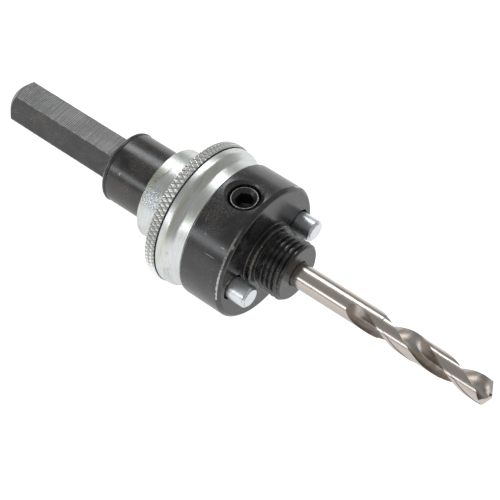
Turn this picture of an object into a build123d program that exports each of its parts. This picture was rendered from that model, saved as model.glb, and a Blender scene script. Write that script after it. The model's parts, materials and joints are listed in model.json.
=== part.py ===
"""Hole saw arbor with a hexagonal shank, a sliding sleeve with two drive pins, a set screw
and a quarter inch pilot drill.

Every piece is modelled along the arbor's own axis. X runs from the shank towards the drill's
tip, X = 0 is the drum's front face where a saw seats, and Z points out through the set screw.
The finished pieces are then tipped and lifted together into the pose in which the arbor lies
on a table: on the rear edge of the knurled band and on one flat of the shank's end.
"""
from build123d import *
from math import asin, atan, cos, degrees, radians, sin, tan
import os

# Pilot drill
DRILL_DIAMETER = 6.35
DRILL_REACH = 66.0            # saw seat to the very tip
DRILL_GRIP = 18.0             # length of shank held behind the saw seat
DRILL_END_CHAMFER = 0.4
POINT_ANGLE = 135.0           # included angle of the point
POINT_RELIEF = 11.0           # how steeply the point falls away behind each lip
FLUTE_START = 26.0            # saw seat to the rear end of the flutes
FLUTE_LEAD = 38.3             # one full turn of a flute
FLUTE_PHASE = 157.5           # direction of the first cutting face at the saw seat
WEB_THICKNESS = 1.15
FLUTE_FLOOR_RADIUS = 1.3
FLUTE_HEEL_LEAN = 22.0        # how far a flute's back wall leans over towards the lip
FLUTE_RUNOUT_RADIUS = 12.0    # grinding wheel's radius where the flutes rise to the shank
MARGIN_WIDTH = 1.0
LAND_RELIEF = 0.14
LAND_RELIEF_START = 35.0      # saw seat to where the lands drop below the margins
CHISEL_TURN = 60.0            # angle from a cutting face to the chisel edge
SPLIT_CHISEL = 0.2            # width left of the chisel edge between the two gashes
SPLIT_TURN = 30.0             # angle from a lip to the wall of its gash
SPLIT_FALL = 27.0             # steepness of a gash's floor towards the flute
SPLIT_HEEL_FALL = 42.5        # steepness of a gash's floor towards the heel

# Threaded spigot and boss
THREAD_DIAMETER = 15.875
SPIGOT_LENGTH = 9.75          # saw seat to the spigot's front face
THREAD_LEAD_IN = 0.6
THREAD_RELIEF_WIDTH = 1.2
THREAD_RELIEF_DEPTH = 1.0
BOSS_HEIGHT = 1.75
BOSS_OVERHANG = 0.7           # boss radius beyond the thread's
BOSS_EDGE_RADIUS = 0.35
BOSS_ROOT_RADIUS = 0.15
THREAD_RELIEF_FLANK = 30.0    # slope of the relief's front side
BORE_CLEARANCE = 0.05
BORE_CHAMFER = 0.35
BORE_FLOOR_SLOPE = 31.0       # drilled bottom, off square

# Spindle and drum
SPINDLE_DIAMETER = 19.05
DRUM_WIDTH = 12.4
DRUM_RIM_WALL = 2.6           # wall between a drive pin and the drum's rim
DRUM_FRONT_CHAMFER = 0.85
DRUM_REAR_CHAMFER = 0.3
SPINDLE_REAR_CHAMFER = 0.4

# Hexagonal shank
HEX_ACROSS_FLATS = 11.4
HEX_LENGTH = 37.2             # spindle's rear face to the shank's end
HEX_ROOT_RADIUS = 2.1         # milling cutter's run-out into the spindle
HEX_END_CHAMFER = 0.7

# Drive pins
PIN_DIAMETER = 5.8
PIN_SPINDLE_GAP = 0.275
PIN_REACH = 5.4               # saw seat to a pin's front end
PIN_HOLE_CLEARANCE = 0.4
PIN_CHAMFER = 0.55
PIN_NECK_DIAMETER = 5.4       # relieved stretch that runs through the drum
PIN_NECK_SETBACK = 0.05       # end of the neck, behind the saw seat
PIN_TENON_DIAMETER = 4.6      # stepped end pressed into the sleeve
PIN_TENON_LENGTH = 7.0

# Sliding sleeve
SLEEVE_CLEARANCE = 0.05
SLEEVE_SEAT_GAP = 0.05
SLEEVE_TRAVEL = 13.0
SLEEVE_BORE_CHAMFER = 0.3
LIP_WIDTH = 0.5
LIP_HEIGHT = 0.35
NECK_DIAMETER = 35.2
NECK_WIDTH = 2.05
SHOULDER_LENGTH = 3.2
BEAD_HEIGHT = 1.3             # bead above the neck
BEAD_WIDTH = 1.3
KNURL_RELIEF_WIDTH = 0.25
KNURL_RELIEF_DEPTH = 0.5
KNURL_STEP = 0.45             # knurled band above the bead
KNURL_WIDTH = 2.85
KNURL_CHAMFER = 0.3
HUB_WALL = 2.85
HUB_LENGTH = 8.9
HUB_CHAMFER = 0.3

# Set screw
SCREW_DIAMETER = 8.0
SCREW_CLEARANCE = 0.05
SCREW_RECESS = 1.3            # screw's top below the drum's surface
SCREW_SINK_WIDTH = 0.8        # countersink's overhang round the hole
SCREW_TOP_CHAMFER = 0.65
SCREW_POINT_CHAMFER = 1.2
SOCKET_ACROSS_FLATS = 4.0
SOCKET_DEPTH = 4.5
SOCKET_MOUTH = 0.3            # overhang of the socket's lead-in round its corners
SCREW_SEAT_GAP = 0.02

# Stop ring
RING_WIDTH = 0.9
RING_THICKNESS = 0.95
RING_STAND = 0.3              # how far the ring stands out of the spindle
RING_SIDE_CLEARANCE = 0.03
RING_END_LAND = 0.5           # spindle left behind the ring's groove
RING_GAP_ANGLE = 16.0
RING_GAP_AT = 217.0

# Detent balls and springs
BALL_DIAMETER = 4.0
BALL_CLEARANCE = 0.04
BALL_SIDE_CLEARANCE = 0.05
SPRING_WIRE = 0.6
SPRING_SIDE_CLEARANCE = 0.25
SPRING_TURNS = 4.5
POCKET_FLOOR_RADIUS = 1.6     # bottom of a pocket, from the arbor's axis

# Worked out from the sizes above
drill_radius = DRILL_DIAMETER / 2
bore_radius = drill_radius + BORE_CLEARANCE
point_fall = 1 / tan(radians(POINT_ANGLE / 2))
thread_radius = THREAD_DIAMETER / 2
thread_root_radius = thread_radius - THREAD_RELIEF_DEPTH
boss_radius = thread_radius + BOSS_OVERHANG
spindle_radius = SPINDLE_DIAMETER / 2
pin_radius = PIN_DIAMETER / 2
pin_circle_radius = spindle_radius + PIN_SPINDLE_GAP + pin_radius
drum_radius = pin_circle_radius + pin_radius + DRUM_RIM_WALL
drum_rear = -DRUM_WIDTH

sleeve_bore_radius = spindle_radius + SLEEVE_CLEARANCE
neck_radius = NECK_DIAMETER / 2
bead_radius = neck_radius + BEAD_HEIGHT
knurl_radius = bead_radius + KNURL_STEP
hub_radius = sleeve_bore_radius + HUB_WALL
sleeve_front = drum_rear - SLEEVE_SEAT_GAP
lip_rear = sleeve_front - LIP_WIDTH
neck_rear = lip_rear - NECK_WIDTH
bead_front = neck_rear - SHOULDER_LENGTH
bead_rear = bead_front - BEAD_WIDTH
knurl_front = bead_rear - KNURL_RELIEF_WIDTH
knurl_rear = knurl_front - KNURL_WIDTH
sleeve_rear = knurl_rear - HUB_LENGTH

ring_front = sleeve_rear - SLEEVE_TRAVEL
ring_rear = ring_front - RING_WIDTH
spindle_rear = ring_rear - RING_END_LAND
shank_end = spindle_rear - HEX_LENGTH
hex_apothem = HEX_ACROSS_FLATS / 2
ball_at = (sleeve_rear + sleeve_front - SLEEVE_TRAVEL) / 2
ball_radius = BALL_DIAMETER / 2
pocket_radius = ball_radius + BALL_SIDE_CLEARANCE
screw_at = drum_rear / 2
screw_radius = SCREW_DIAMETER / 2
screw_hole_radius = screw_radius + SCREW_CLEARANCE
screw_top = drum_radius - SCREW_RECESS
screw_bottom = drill_radius + SCREW_SEAT_GAP


def turned(outline):
    """A solid turned about the arbor's axis from an outline of (x, radius) points."""
    return revolve(Plane.XZ * make_face(Polyline(*outline, close=True)), Axis.X)


def round_bar(start, end, radius, y):
    """A plain cylinder parallel to the arbor's axis, y to its side."""
    bar = Cylinder(radius, end - start, align=(Align.CENTER, Align.CENTER, Align.MIN))
    return Pos(start, y, 0) * Rot(0, 90, 0) * bar


def standing(outline):
    """A solid turned about the Z axis from an outline of (radius, z) points."""
    return revolve(Plane.XZ * make_face(Polyline(*outline, close=True)), Axis.Z)


def bar_blank():
    """The turned blank of the arbor: spindle, drum, boss and spigot."""
    relief_front = BOSS_HEIGHT + THREAD_RELIEF_WIDTH
    lead_in_radius = thread_radius - THREAD_LEAD_IN
    blank = turned([
        (shank_end, 0),
        (shank_end, spindle_radius),
        (drum_rear, spindle_radius),
        (drum_rear, drum_radius - DRUM_REAR_CHAMFER),
        (drum_rear + DRUM_REAR_CHAMFER, drum_radius),
        (-DRUM_FRONT_CHAMFER, drum_radius),
        (0, drum_radius - DRUM_FRONT_CHAMFER),
        (0, boss_radius),
        (BOSS_HEIGHT, boss_radius),
        (BOSS_HEIGHT, thread_root_radius),
        (relief_front, thread_root_radius),
        (relief_front + THREAD_RELIEF_DEPTH * tan(radians(THREAD_RELIEF_FLANK)), thread_radius),
        (SPIGOT_LENGTH - THREAD_LEAD_IN, thread_radius),
        (SPIGOT_LENGTH, lead_in_radius),
        (SPIGOT_LENGTH, 0),
    ])
    rings = blank.edges().filter_by(GeomType.CIRCLE)
    at_boss = rings.filter_by(lambda edge: abs(edge.radius - boss_radius) < 0.001)
    root = at_boss.sort_by(Axis.X)[0]
    blank = fillet(root, BOSS_ROOT_RADIUS)
    rings = blank.edges().filter_by(GeomType.CIRCLE)
    at_boss = rings.filter_by(lambda edge: abs(edge.radius - boss_radius) < 0.001)
    return fillet(at_boss.sort_by(Axis.X)[-1], BOSS_EDGE_RADIUS)


def flat_cutter():
    """What the milling cutter clears above the top flat of the hexagon, run-out included."""
    beyond = shank_end - 1
    above = 2 * spindle_radius
    root = spindle_rear - HEX_ROOT_RADIUS
    runout = CenterArc((root, hex_apothem + HEX_ROOT_RADIUS), HEX_ROOT_RADIUS, -90, 90)
    rest = Polyline(
        (spindle_rear, hex_apothem + HEX_ROOT_RADIUS),
        (spindle_rear, above),
        (beyond, above),
        (beyond, hex_apothem),
        (root, hex_apothem),
    )
    return extrude(Plane.XZ * make_face(runout + rest), spindle_radius * 2, both=True)


def screw_hole():
    """The tapped hole for the set screw, from the drill's bore out through the drum."""
    mouth = screw_hole_radius + SCREW_SINK_WIDTH
    above = 2.0
    hole = standing([
        (0, 0),
        (screw_hole_radius, 0),
        (screw_hole_radius, drum_radius - SCREW_SINK_WIDTH),
        (mouth, drum_radius),
        (mouth, drum_radius + above),
        (0, drum_radius + above),
    ])
    return Pos(screw_at, 0, 0) * hole


def drill_bore():
    """The blind bore that holds the pilot drill, with its drilled bottom."""
    floor = -DRILL_GRIP - BORE_CHAMFER
    mouth = bore_radius + BORE_CHAMFER
    return turned([
        (floor - bore_radius * tan(radians(BORE_FLOOR_SLOPE)), 0),
        (floor, bore_radius),
        (SPIGOT_LENGTH - BORE_CHAMFER, bore_radius),
        (SPIGOT_LENGTH, mouth),
        (SPIGOT_LENGTH + 1, mouth),
        (SPIGOT_LENGTH + 1, 0),
    ])


def ball_pocket(side):
    """A radial pocket for one ball and its spring. side is +1 or -1 along Y."""
    depth = spindle_radius + 1 - POCKET_FLOOR_RADIUS
    drilled = Cylinder(pocket_radius, depth, align=(Align.CENTER, Align.CENTER, Align.MIN))
    return Pos(ball_at, side * POCKET_FLOOR_RADIUS, 0) * Rot(-90 * side, 0, 0) * drilled


def ring_groove():
    """The groove round the spindle's rear end that the stop ring sits in."""
    floor = spindle_radius + RING_STAND - RING_THICKNESS - RING_SIDE_CLEARANCE
    outside = spindle_radius + 1
    rear = ring_rear - RING_SIDE_CLEARANCE
    front = ring_front + RING_SIDE_CLEARANCE
    return turned([(rear, floor), (rear, outside), (front, outside), (front, floor)])


def spindle_edge():
    """What the chamfer on the spindle's rear edge takes away."""
    inner = spindle_radius - SPINDLE_REAR_CHAMFER
    outside = spindle_radius + 1
    return turned([
        (spindle_rear - 1, inner - 1),
        (spindle_rear + SPINDLE_REAR_CHAMFER + 1, outside),
        (spindle_rear - 1, outside),
    ])


def make_arbor_body():
    body = bar_blank()
    for turn in range(6):
        body -= Rot(60 * turn, 0, 0) * flat_cutter()
    end_edges = body.faces().sort_by(Axis.X)[0].edges()
    body = chamfer(end_edges, HEX_END_CHAMFER)
    body -= spindle_edge()
    body -= ring_groove()
    body -= screw_hole()
    body -= drill_bore()
    hole_radius = pin_radius + PIN_HOLE_CLEARANCE
    for side in (1, -1):
        body -= round_bar(drum_rear, 1, hole_radius, side * pin_circle_radius)
        body -= ball_pocket(side)
    return body


def make_sleeve():
    """The sliding sleeve: lip, neck, shoulder, bead, knurled band and hub in one turning."""
    lip_radius = neck_radius + LIP_HEIGHT
    relief_radius = bead_radius - KNURL_RELIEF_DEPTH
    shoulder_middle = (neck_rear - SHOULDER_LENGTH / 2, neck_radius + BEAD_HEIGHT / 2)
    before = Polyline(
        (neck_rear, neck_radius),
        (lip_rear, neck_radius),
        (lip_rear, lip_radius),
        (sleeve_front, lip_radius),
        (sleeve_front, sleeve_bore_radius + SLEEVE_BORE_CHAMFER),
        (sleeve_front - SLEEVE_BORE_CHAMFER, sleeve_bore_radius),
        (sleeve_rear + SLEEVE_BORE_CHAMFER, sleeve_bore_radius),
        (sleeve_rear, sleeve_bore_radius + SLEEVE_BORE_CHAMFER),
        (sleeve_rear, hub_radius - HUB_CHAMFER),
        (sleeve_rear + HUB_CHAMFER, hub_radius),
        (knurl_rear, hub_radius),
        (knurl_rear, knurl_radius - KNURL_CHAMFER),
        (knurl_rear + KNURL_CHAMFER, knurl_radius),
        (knurl_front - KNURL_CHAMFER, knurl_radius),
        (knurl_front, knurl_radius - KNURL_CHAMFER),
        (knurl_front, relief_radius),
        (bead_rear, relief_radius),
        (bead_rear, bead_radius),
        (bead_front, bead_radius),
    )
    cove = TangentArc((neck_rear, neck_radius), shoulder_middle, tangent=(-1, 0))
    crown = TangentArc((bead_front, bead_radius), shoulder_middle, tangent=(1, 0))
    sleeve = revolve(Plane.XZ * make_face(before + cove + crown), Axis.X)
    for side in (1, -1):
        socket_end = sleeve_front - PIN_TENON_LENGTH
        y = side * pin_circle_radius
        sleeve -= round_bar(socket_end, sleeve_front + 1, PIN_TENON_DIAMETER / 2, y)
    return sleeve


def make_drive_pin(side):
    """A stepped pin: a tenon pressed into the sleeve, a neck, and the head that drives the saw."""
    tenon_radius = PIN_TENON_DIAMETER / 2
    neck_radius = PIN_NECK_DIAMETER / 2
    pin = turned([
        (sleeve_front - PIN_TENON_LENGTH, 0),
        (sleeve_front - PIN_TENON_LENGTH, tenon_radius),
        (sleeve_front, tenon_radius),
        (sleeve_front, neck_radius),
        (-PIN_NECK_SETBACK, neck_radius),
        (-PIN_NECK_SETBACK, pin_radius),
        (PIN_REACH - PIN_CHAMFER, pin_radius),
        (PIN_REACH, pin_radius - PIN_CHAMFER),
        (PIN_REACH, 0),
    ])
    return Pos(0, side * pin_circle_radius, 0) * pin


def make_set_screw():
    """A socket set screw. Its thread is left plain at the major diameter."""
    screw = standing([
        (0, screw_bottom),
        (screw_radius - SCREW_POINT_CHAMFER, screw_bottom),
        (screw_radius, screw_bottom + SCREW_POINT_CHAMFER),
        (screw_radius, screw_top - SCREW_TOP_CHAMFER),
        (screw_radius - SCREW_TOP_CHAMFER, screw_top),
        (0, screw_top),
    ])
    hexagon = RegularPolygon(SOCKET_ACROSS_FLATS / 2, 6, major_radius=False)
    socket = Pos(0, 0, screw_top - SOCKET_DEPTH) * extrude(hexagon, SOCKET_DEPTH + 1)
    corner_radius = SOCKET_ACROSS_FLATS / 2 / cos(radians(30))
    mouth_radius = corner_radius + SOCKET_MOUTH
    mouth = standing([
        (0, screw_top - mouth_radius / 2),
        (mouth_radius, screw_top),
        (mouth_radius, screw_top + 1),
        (0, screw_top + 1),
    ])
    return Pos(screw_at, 0, 0) * (screw - socket - mouth)


def flute_section(relieved):
    """The drill's cross-section. X runs along the first cutting face, out to its lip."""
    web_radius = WEB_THICKNESS / 2
    middle = (0, web_radius + FLUTE_FLOOR_RADIUS)
    lean = radians(FLUTE_HEEL_LEAN)
    touch = (-FLUTE_FLOOR_RADIUS * cos(lean), middle[1] + FLUTE_FLOOR_RADIUS * sin(lean))
    beyond = DRILL_DIAMETER
    flute = Pos(*middle) * Circle(FLUTE_FLOOR_RADIUS)
    flute += make_face(Polyline(
        (0, web_radius),
        (beyond, web_radius),
        (beyond, beyond),
        (touch[0] + beyond * tan(lean), touch[1] + beyond),
        touch,
        middle,
        close=True))
    section = Circle(drill_radius) - flute - Rot(0, 0, 180) * flute
    if relieved:
        ring = Circle(drill_radius + 1) - Circle(drill_radius - LAND_RELIEF)
        first = radians(lip_lead() - degrees(MARGIN_WIDTH / drill_radius))
        last = first - radians(90)
        behind_margin = ring & make_face(Polyline(
            (0, 0),
            (beyond * cos(first), beyond * sin(first)),
            (beyond * 2 ** 0.5 * cos(first - radians(45)), beyond * 2 ** 0.5 * sin(first - radians(45))),
            (beyond * cos(last), beyond * sin(last)),
            close=True))
        section = section - behind_margin - Rot(0, 0, 180) * behind_margin
    return section


def lip_lead():
    """Angle of a lip's outer corner ahead of the direction of its cutting face."""
    return degrees(asin(WEB_THICKNESS / 2 / drill_radius))


def face_direction(x):
    """Angle of the first cutting face at a place along the drill."""
    return FLUTE_PHASE + 360 * x / FLUTE_LEAD


def fluted_length(start, end, relieved):
    """A stretch of twisted drill."""
    face = flute_section(relieved).faces()[0]
    twist = 360 * (end - start) / FLUTE_LEAD
    twisted = Solid.extrude_linear_with_rotation(face, (0, 0, 0), (0, 0, end - start), twist)
    return Pos(start, 0, 0) * Rot(face_direction(start), 0, 0) * Plane.YZ.location * twisted


def half_space(origin, inward):
    """A block that fills the neighbourhood of the point on one side of a plane."""
    reach = 3 * DRILL_DIAMETER
    block = Box(reach, reach, reach, align=(Align.CENTER, Align.CENTER, Align.MIN))
    return Plane(origin=origin, z_dir=inward).location * block


def point_cutter():
    """What is ground away in front of the first lip's flank, which falls away behind the lip."""
    reach = DRILL_DIAMETER
    web_radius = WEB_THICKNESS / 2
    apex = DRILL_REACH + web_radius * (point_fall + tan(radians(POINT_RELIEF)))
    funnel = turned([
        (apex, 0),
        (apex + reach, 0),
        (apex + reach, reach),
        (apex - reach * point_fall, reach),
    ])
    lip_line = Axis((apex, 0, web_radius), (-point_fall, 1, 0))
    flank = (Pos(0, 0, web_radius) * funnel).rotate(lip_line, POINT_RELIEF)
    across = radians(CHISEL_TURN - 90)
    own_side = half_space((DRILL_REACH, 0, 0), (0, cos(across), sin(across)))
    return Rot(face_direction(DRILL_REACH), 0, 0) * (flank & own_side)


def split_gash():
    """The notch that thins the web in front of the first lip and bevels the next heel."""
    half_chisel = SPLIT_CHISEL / 2
    turn = radians(SPLIT_TURN)
    start = (DRILL_REACH - half_chisel * (point_fall + tan(radians(POINT_RELIEF))), 0, half_chisel)
    above = half_space(start, (1, tan(radians(SPLIT_FALL)), tan(radians(SPLIT_HEEL_FALL))))
    beside = half_space(start, (0, -sin(turn), cos(turn)))
    return Rot(face_direction(DRILL_REACH), 0, 0) * (above & beside)


def make_pilot_drill():
    """A twist drill: plain shank, two right-hand flutes and a split point."""
    web_radius = WEB_THICKNESS / 2
    rise = drill_radius - web_radius
    runout = (FLUTE_RUNOUT_RADIUS ** 2 - (FLUTE_RUNOUT_RADIUS - rise) ** 2) ** 0.5
    slope = atan(rise / runout)
    arc_middle = (
        FLUTE_START + runout - FLUTE_RUNOUT_RADIUS * sin(slope),
        web_radius + FLUTE_RUNOUT_RADIUS * (1 - cos(slope)),
    )
    swept = ThreePointArc(
        (FLUTE_START, drill_radius),
        arc_middle,
        (FLUTE_START + runout, web_radius))
    rest = Polyline(
        (FLUTE_START + runout, web_radius),
        (FLUTE_START + runout, 0),
        (-DRILL_GRIP, 0),
        (-DRILL_GRIP, drill_radius - DRILL_END_CHAMFER),
        (-DRILL_GRIP + DRILL_END_CHAMFER, drill_radius),
        (FLUTE_START, drill_radius),
    )
    drill = revolve(Plane.XZ * make_face(swept + rest), Axis.X)
    drill += fluted_length(FLUTE_START, LAND_RELIEF_START, False)
    drill += fluted_length(LAND_RELIEF_START, DRILL_REACH, True)
    for turn in (0, 180):
        drill -= Rot(turn, 0, 0) * point_cutter()
        drill -= Rot(turn, 0, 0) * split_gash()
    return drill


def make_stop_ring():
    """An open spring ring that stands a little out of its groove and stops the sleeve."""
    outer = spindle_radius + RING_STAND
    inner = outer - RING_THICKNESS
    section = Plane.XZ * make_face(Polyline(
        (ring_rear, inner),
        (ring_rear, outer),
        (ring_front, outer),
        (ring_front, inner),
        close=True))
    ring = revolve(section, Axis.X, 360 - RING_GAP_ANGLE)
    return Rot(RING_GAP_AT + RING_GAP_ANGLE / 2 - 90, 0, 0) * ring


def make_ball(side):
    reach = sleeve_bore_radius - BALL_CLEARANCE - ball_radius
    return Pos(ball_at, side * reach, 0) * Sphere(ball_radius)


def make_ball_spring(side):
    """A coil spring from the pocket's floor to the ball."""
    ball_underside = sleeve_bore_radius - BALL_CLEARANCE - BALL_DIAMETER
    coil_radius = pocket_radius - SPRING_SIDE_CLEARANCE - SPRING_WIRE / 2
    seat = ball_underside + ball_radius - (ball_radius ** 2 - coil_radius ** 2) ** 0.5
    coil_length = seat - POCKET_FLOOR_RADIUS - SPRING_WIRE * 1.25
    path = Helix(coil_length / SPRING_TURNS, coil_length, coil_radius)
    wire_section = Plane(origin=path @ 0, z_dir=path % 0) * Circle(SPRING_WIRE / 2)
    coil = sweep(wire_section, path=path, is_frenet=True)
    start = POCKET_FLOOR_RADIUS + SPRING_WIRE * 0.55
    return Pos(ball_at, side * start, 0) * Rot(-90 * side, 0, 0) * coil


def lying_place():
    """Tips the arbor back until its knurled band and its shank's end both touch the table."""
    front_touch = (knurl_rear + KNURL_CHAMFER, knurl_radius)
    rear_touch = (shank_end + HEX_END_CHAMFER, hex_apothem)
    tilt = atan((front_touch[1] - rear_touch[1]) / (front_touch[0] - rear_touch[0]))
    lift = front_touch[0] * -sin(tilt) + front_touch[1] * cos(tilt)
    return tilt, lift


pieces = {
    "arbor_body": make_arbor_body(),
    "knurled_sleeve": make_sleeve(),
    "drive_pin_left": make_drive_pin(1),
    "drive_pin_right": make_drive_pin(-1),
    "set_screw": make_set_screw(),
    "pilot_drill": make_pilot_drill(),
    "stop_ring": make_stop_ring(),
    "detent_ball_left": make_ball(1),
    "detent_ball_right": make_ball(-1),
    "detent_spring_left": make_ball_spring(1),
    "detent_spring_right": make_ball_spring(-1),
}

tilt, lift = lying_place()
tipped = {name: Rot(0, -degrees(tilt), 0) * piece for name, piece in pieces.items()}
boxes = [piece.bounding_box() for piece in tipped.values()]
centre_x = (min(box.min.X for box in boxes) + max(box.max.X for box in boxes)) / 2

os.makedirs("parts", exist_ok=True)
for name, piece in tipped.items():
    export_step(Pos(-centre_x, 0, lift) * piece, os.path.join("parts", name + ".step"))

print("tilt", degrees(tilt), "lift", lift, "centre_x", centre_x)
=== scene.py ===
"""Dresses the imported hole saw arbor: its turned, milled, knurled and threaded surfaces, their
finishes, the studio round it and the camera.

Sizes are kept in metres, as Blender keeps them. Meshes are first made in millimetres in the
arbor's own frame, where X runs along its axis towards the drill's tip, X = 0 is the drum's
front face and Z points out through the set screw. They are then placed in the shared frame.
"""

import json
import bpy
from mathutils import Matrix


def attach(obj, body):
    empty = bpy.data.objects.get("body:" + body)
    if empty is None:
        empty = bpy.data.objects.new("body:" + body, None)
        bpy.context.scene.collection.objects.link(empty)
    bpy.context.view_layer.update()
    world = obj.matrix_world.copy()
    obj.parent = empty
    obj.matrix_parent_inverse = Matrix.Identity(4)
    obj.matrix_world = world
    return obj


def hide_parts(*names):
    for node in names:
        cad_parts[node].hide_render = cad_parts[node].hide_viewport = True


bl_info = {
    "name": "Hole saw arbor dressing",
    "version": (1, 0, 0),
    "blender": (4, 5, 0),
    "location": "View3D > Sidebar > Arbor",
    "description": "Builds the finished surfaces of a hole saw arbor round its packed frame",
    "category": "Add Mesh",
}

from math import cos, pi, radians, sin, sqrt, tan

import bmesh
import bpy
import numpy as np
from bpy.props import FloatProperty, FloatVectorProperty, IntProperty, PointerProperty
from bpy.types import Operator, Panel, PropertyGroup
from mathutils import Matrix, Vector
from mathutils.geometry import delaunay_2d_cdt

MM = 0.001
ROUND_STEPS = 192
MERGE = 1e-4
WEAR = "wear"
BARE = "bare"

# Distance between milling lines, the flank behind the thread, the slope of the bore's floor.
MILLING_FEED = 0.56
RELIEF_FLANK = radians(30)
BORE_FLOOR_SLOPE = radians(31)

# How far under the knurl's crests the turned sleeve and the band's own inner wall lie.
BAND_SEAT = 0.75
BAND_INSIDE = 1.1

# Where each speck or scratch lies in the arbor's own frame, and its reach along each axis.
GREASE_SPOTS = (
    ((0.0, -14.3, 3.5), (0.4, 0.9, 0.5)),
    ((1.68, -7.0, 4.64), (0.22, 0.22, 0.22)),
    ((1.3, -7.72, 3.88), (0.16, 0.3, 0.3)),
    ((1.67, -3.47, 7.67), (0.2, 0.24, 0.2)),
    ((0.02, 3.93, 7.83), (0.3, 0.25, 0.25)),
)
SCRATCHES = (
    ((-4.9, -14.8, 10.58), (1.9, 0.13, 0.13)),
    ((-8.2, -12.1, 13.6), (0.5, 0.1, 0.1)),
    ((-2.6, -12.6, 13.13), (0.7, 0.1, 0.1)),
    ((-41.2, -6.9, 6.57), (0.14, 0.5, 0.6)),
    ((-0.4, -11.6, 13.9), (0.5, 0.8, 0.8)),
)

# The photograph's viewpoint in the arbor's own frame, and the directions of its image.
CAMERA_PLACE = Vector((158.892, -184.542, 319.636))
IMAGE_RIGHT = Vector((0.773234, 0.633351, -0.031237))
IMAGE_DOWN = Vector((0.488518, -0.626373, -0.607459))
IMAGE_AHEAD = Vector((-0.404301, 0.454448, -0.793737))

# Name, compass angle and height in degrees, size in metres and power in watts.
LAMPS = (
    ("back_box", 140, 41, (0.6, 0.2), 1.6),
    ("side_box", -122, 19, (0.7, 0.15), 1.0),
)
LAMP_COLOUR = (0.93, 0.97, 1.0)
WHITE = (1, 1, 1)

# How far the lamps stand from the point they aim at, and how far it lies behind the saw seat.
LAMP_DISTANCE = 0.9
LAMP_AIM = 0.02

# The floor's radius in metres, its glow, and how much stronger that glow is for the camera.
FLOOR_RADIUS = 1.4
FLOOR_GLOW = 0.5
FLOOR_SHOWN = 1.6

# How steep a mirrored direction is where white has fully given way to the ceiling.
SKYLINE = 0.06

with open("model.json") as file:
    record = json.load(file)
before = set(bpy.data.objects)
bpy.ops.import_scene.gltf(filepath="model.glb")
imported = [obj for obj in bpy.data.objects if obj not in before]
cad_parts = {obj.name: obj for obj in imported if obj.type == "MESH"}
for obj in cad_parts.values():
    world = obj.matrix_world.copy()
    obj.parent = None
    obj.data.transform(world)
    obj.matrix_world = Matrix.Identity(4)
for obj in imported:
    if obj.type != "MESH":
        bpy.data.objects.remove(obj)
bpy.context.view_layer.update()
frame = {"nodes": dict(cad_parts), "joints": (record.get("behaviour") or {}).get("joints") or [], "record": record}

JOINTS = {joint["name"]: joint for joint in frame["joints"]}
MOUNTS = {mount["name"]: mount for mount in frame["record"]["mounts"]}
AHEAD = Vector(JOINTS["drill_slide"]["axis"]).normalized()
OUTWARD = Vector(JOINTS["screw_travel"]["axis"]).normalized()
ASIDE = OUTWARD.cross(AHEAD).normalized()
SEAT = Vector(MOUNTS["drive_pins"]["pos_m"])
TURN = Matrix((AHEAD, ASIDE, OUTWARD)).transposed()
PLACE = Matrix.Translation(SEAT) @ TURN.to_4x4() @ Matrix.Scale(MM, 4)


def length(name, description, millimetres):
    """A length property, kept in metres."""
    return FloatProperty(
        name=name, description=description, default=millimetres * MM, unit="LENGTH", precision=5)


def tint(name, description, colour):
    """A colour property."""
    return FloatVectorProperty(
        name=name, description=description, subtype="COLOR", size=3, min=0, max=1, default=colour)


def angle(name, description, turn):
    """An angle property, kept in radians."""
    return FloatProperty(
        name=name, description=description, default=radians(turn), subtype="ANGLE")


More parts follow.
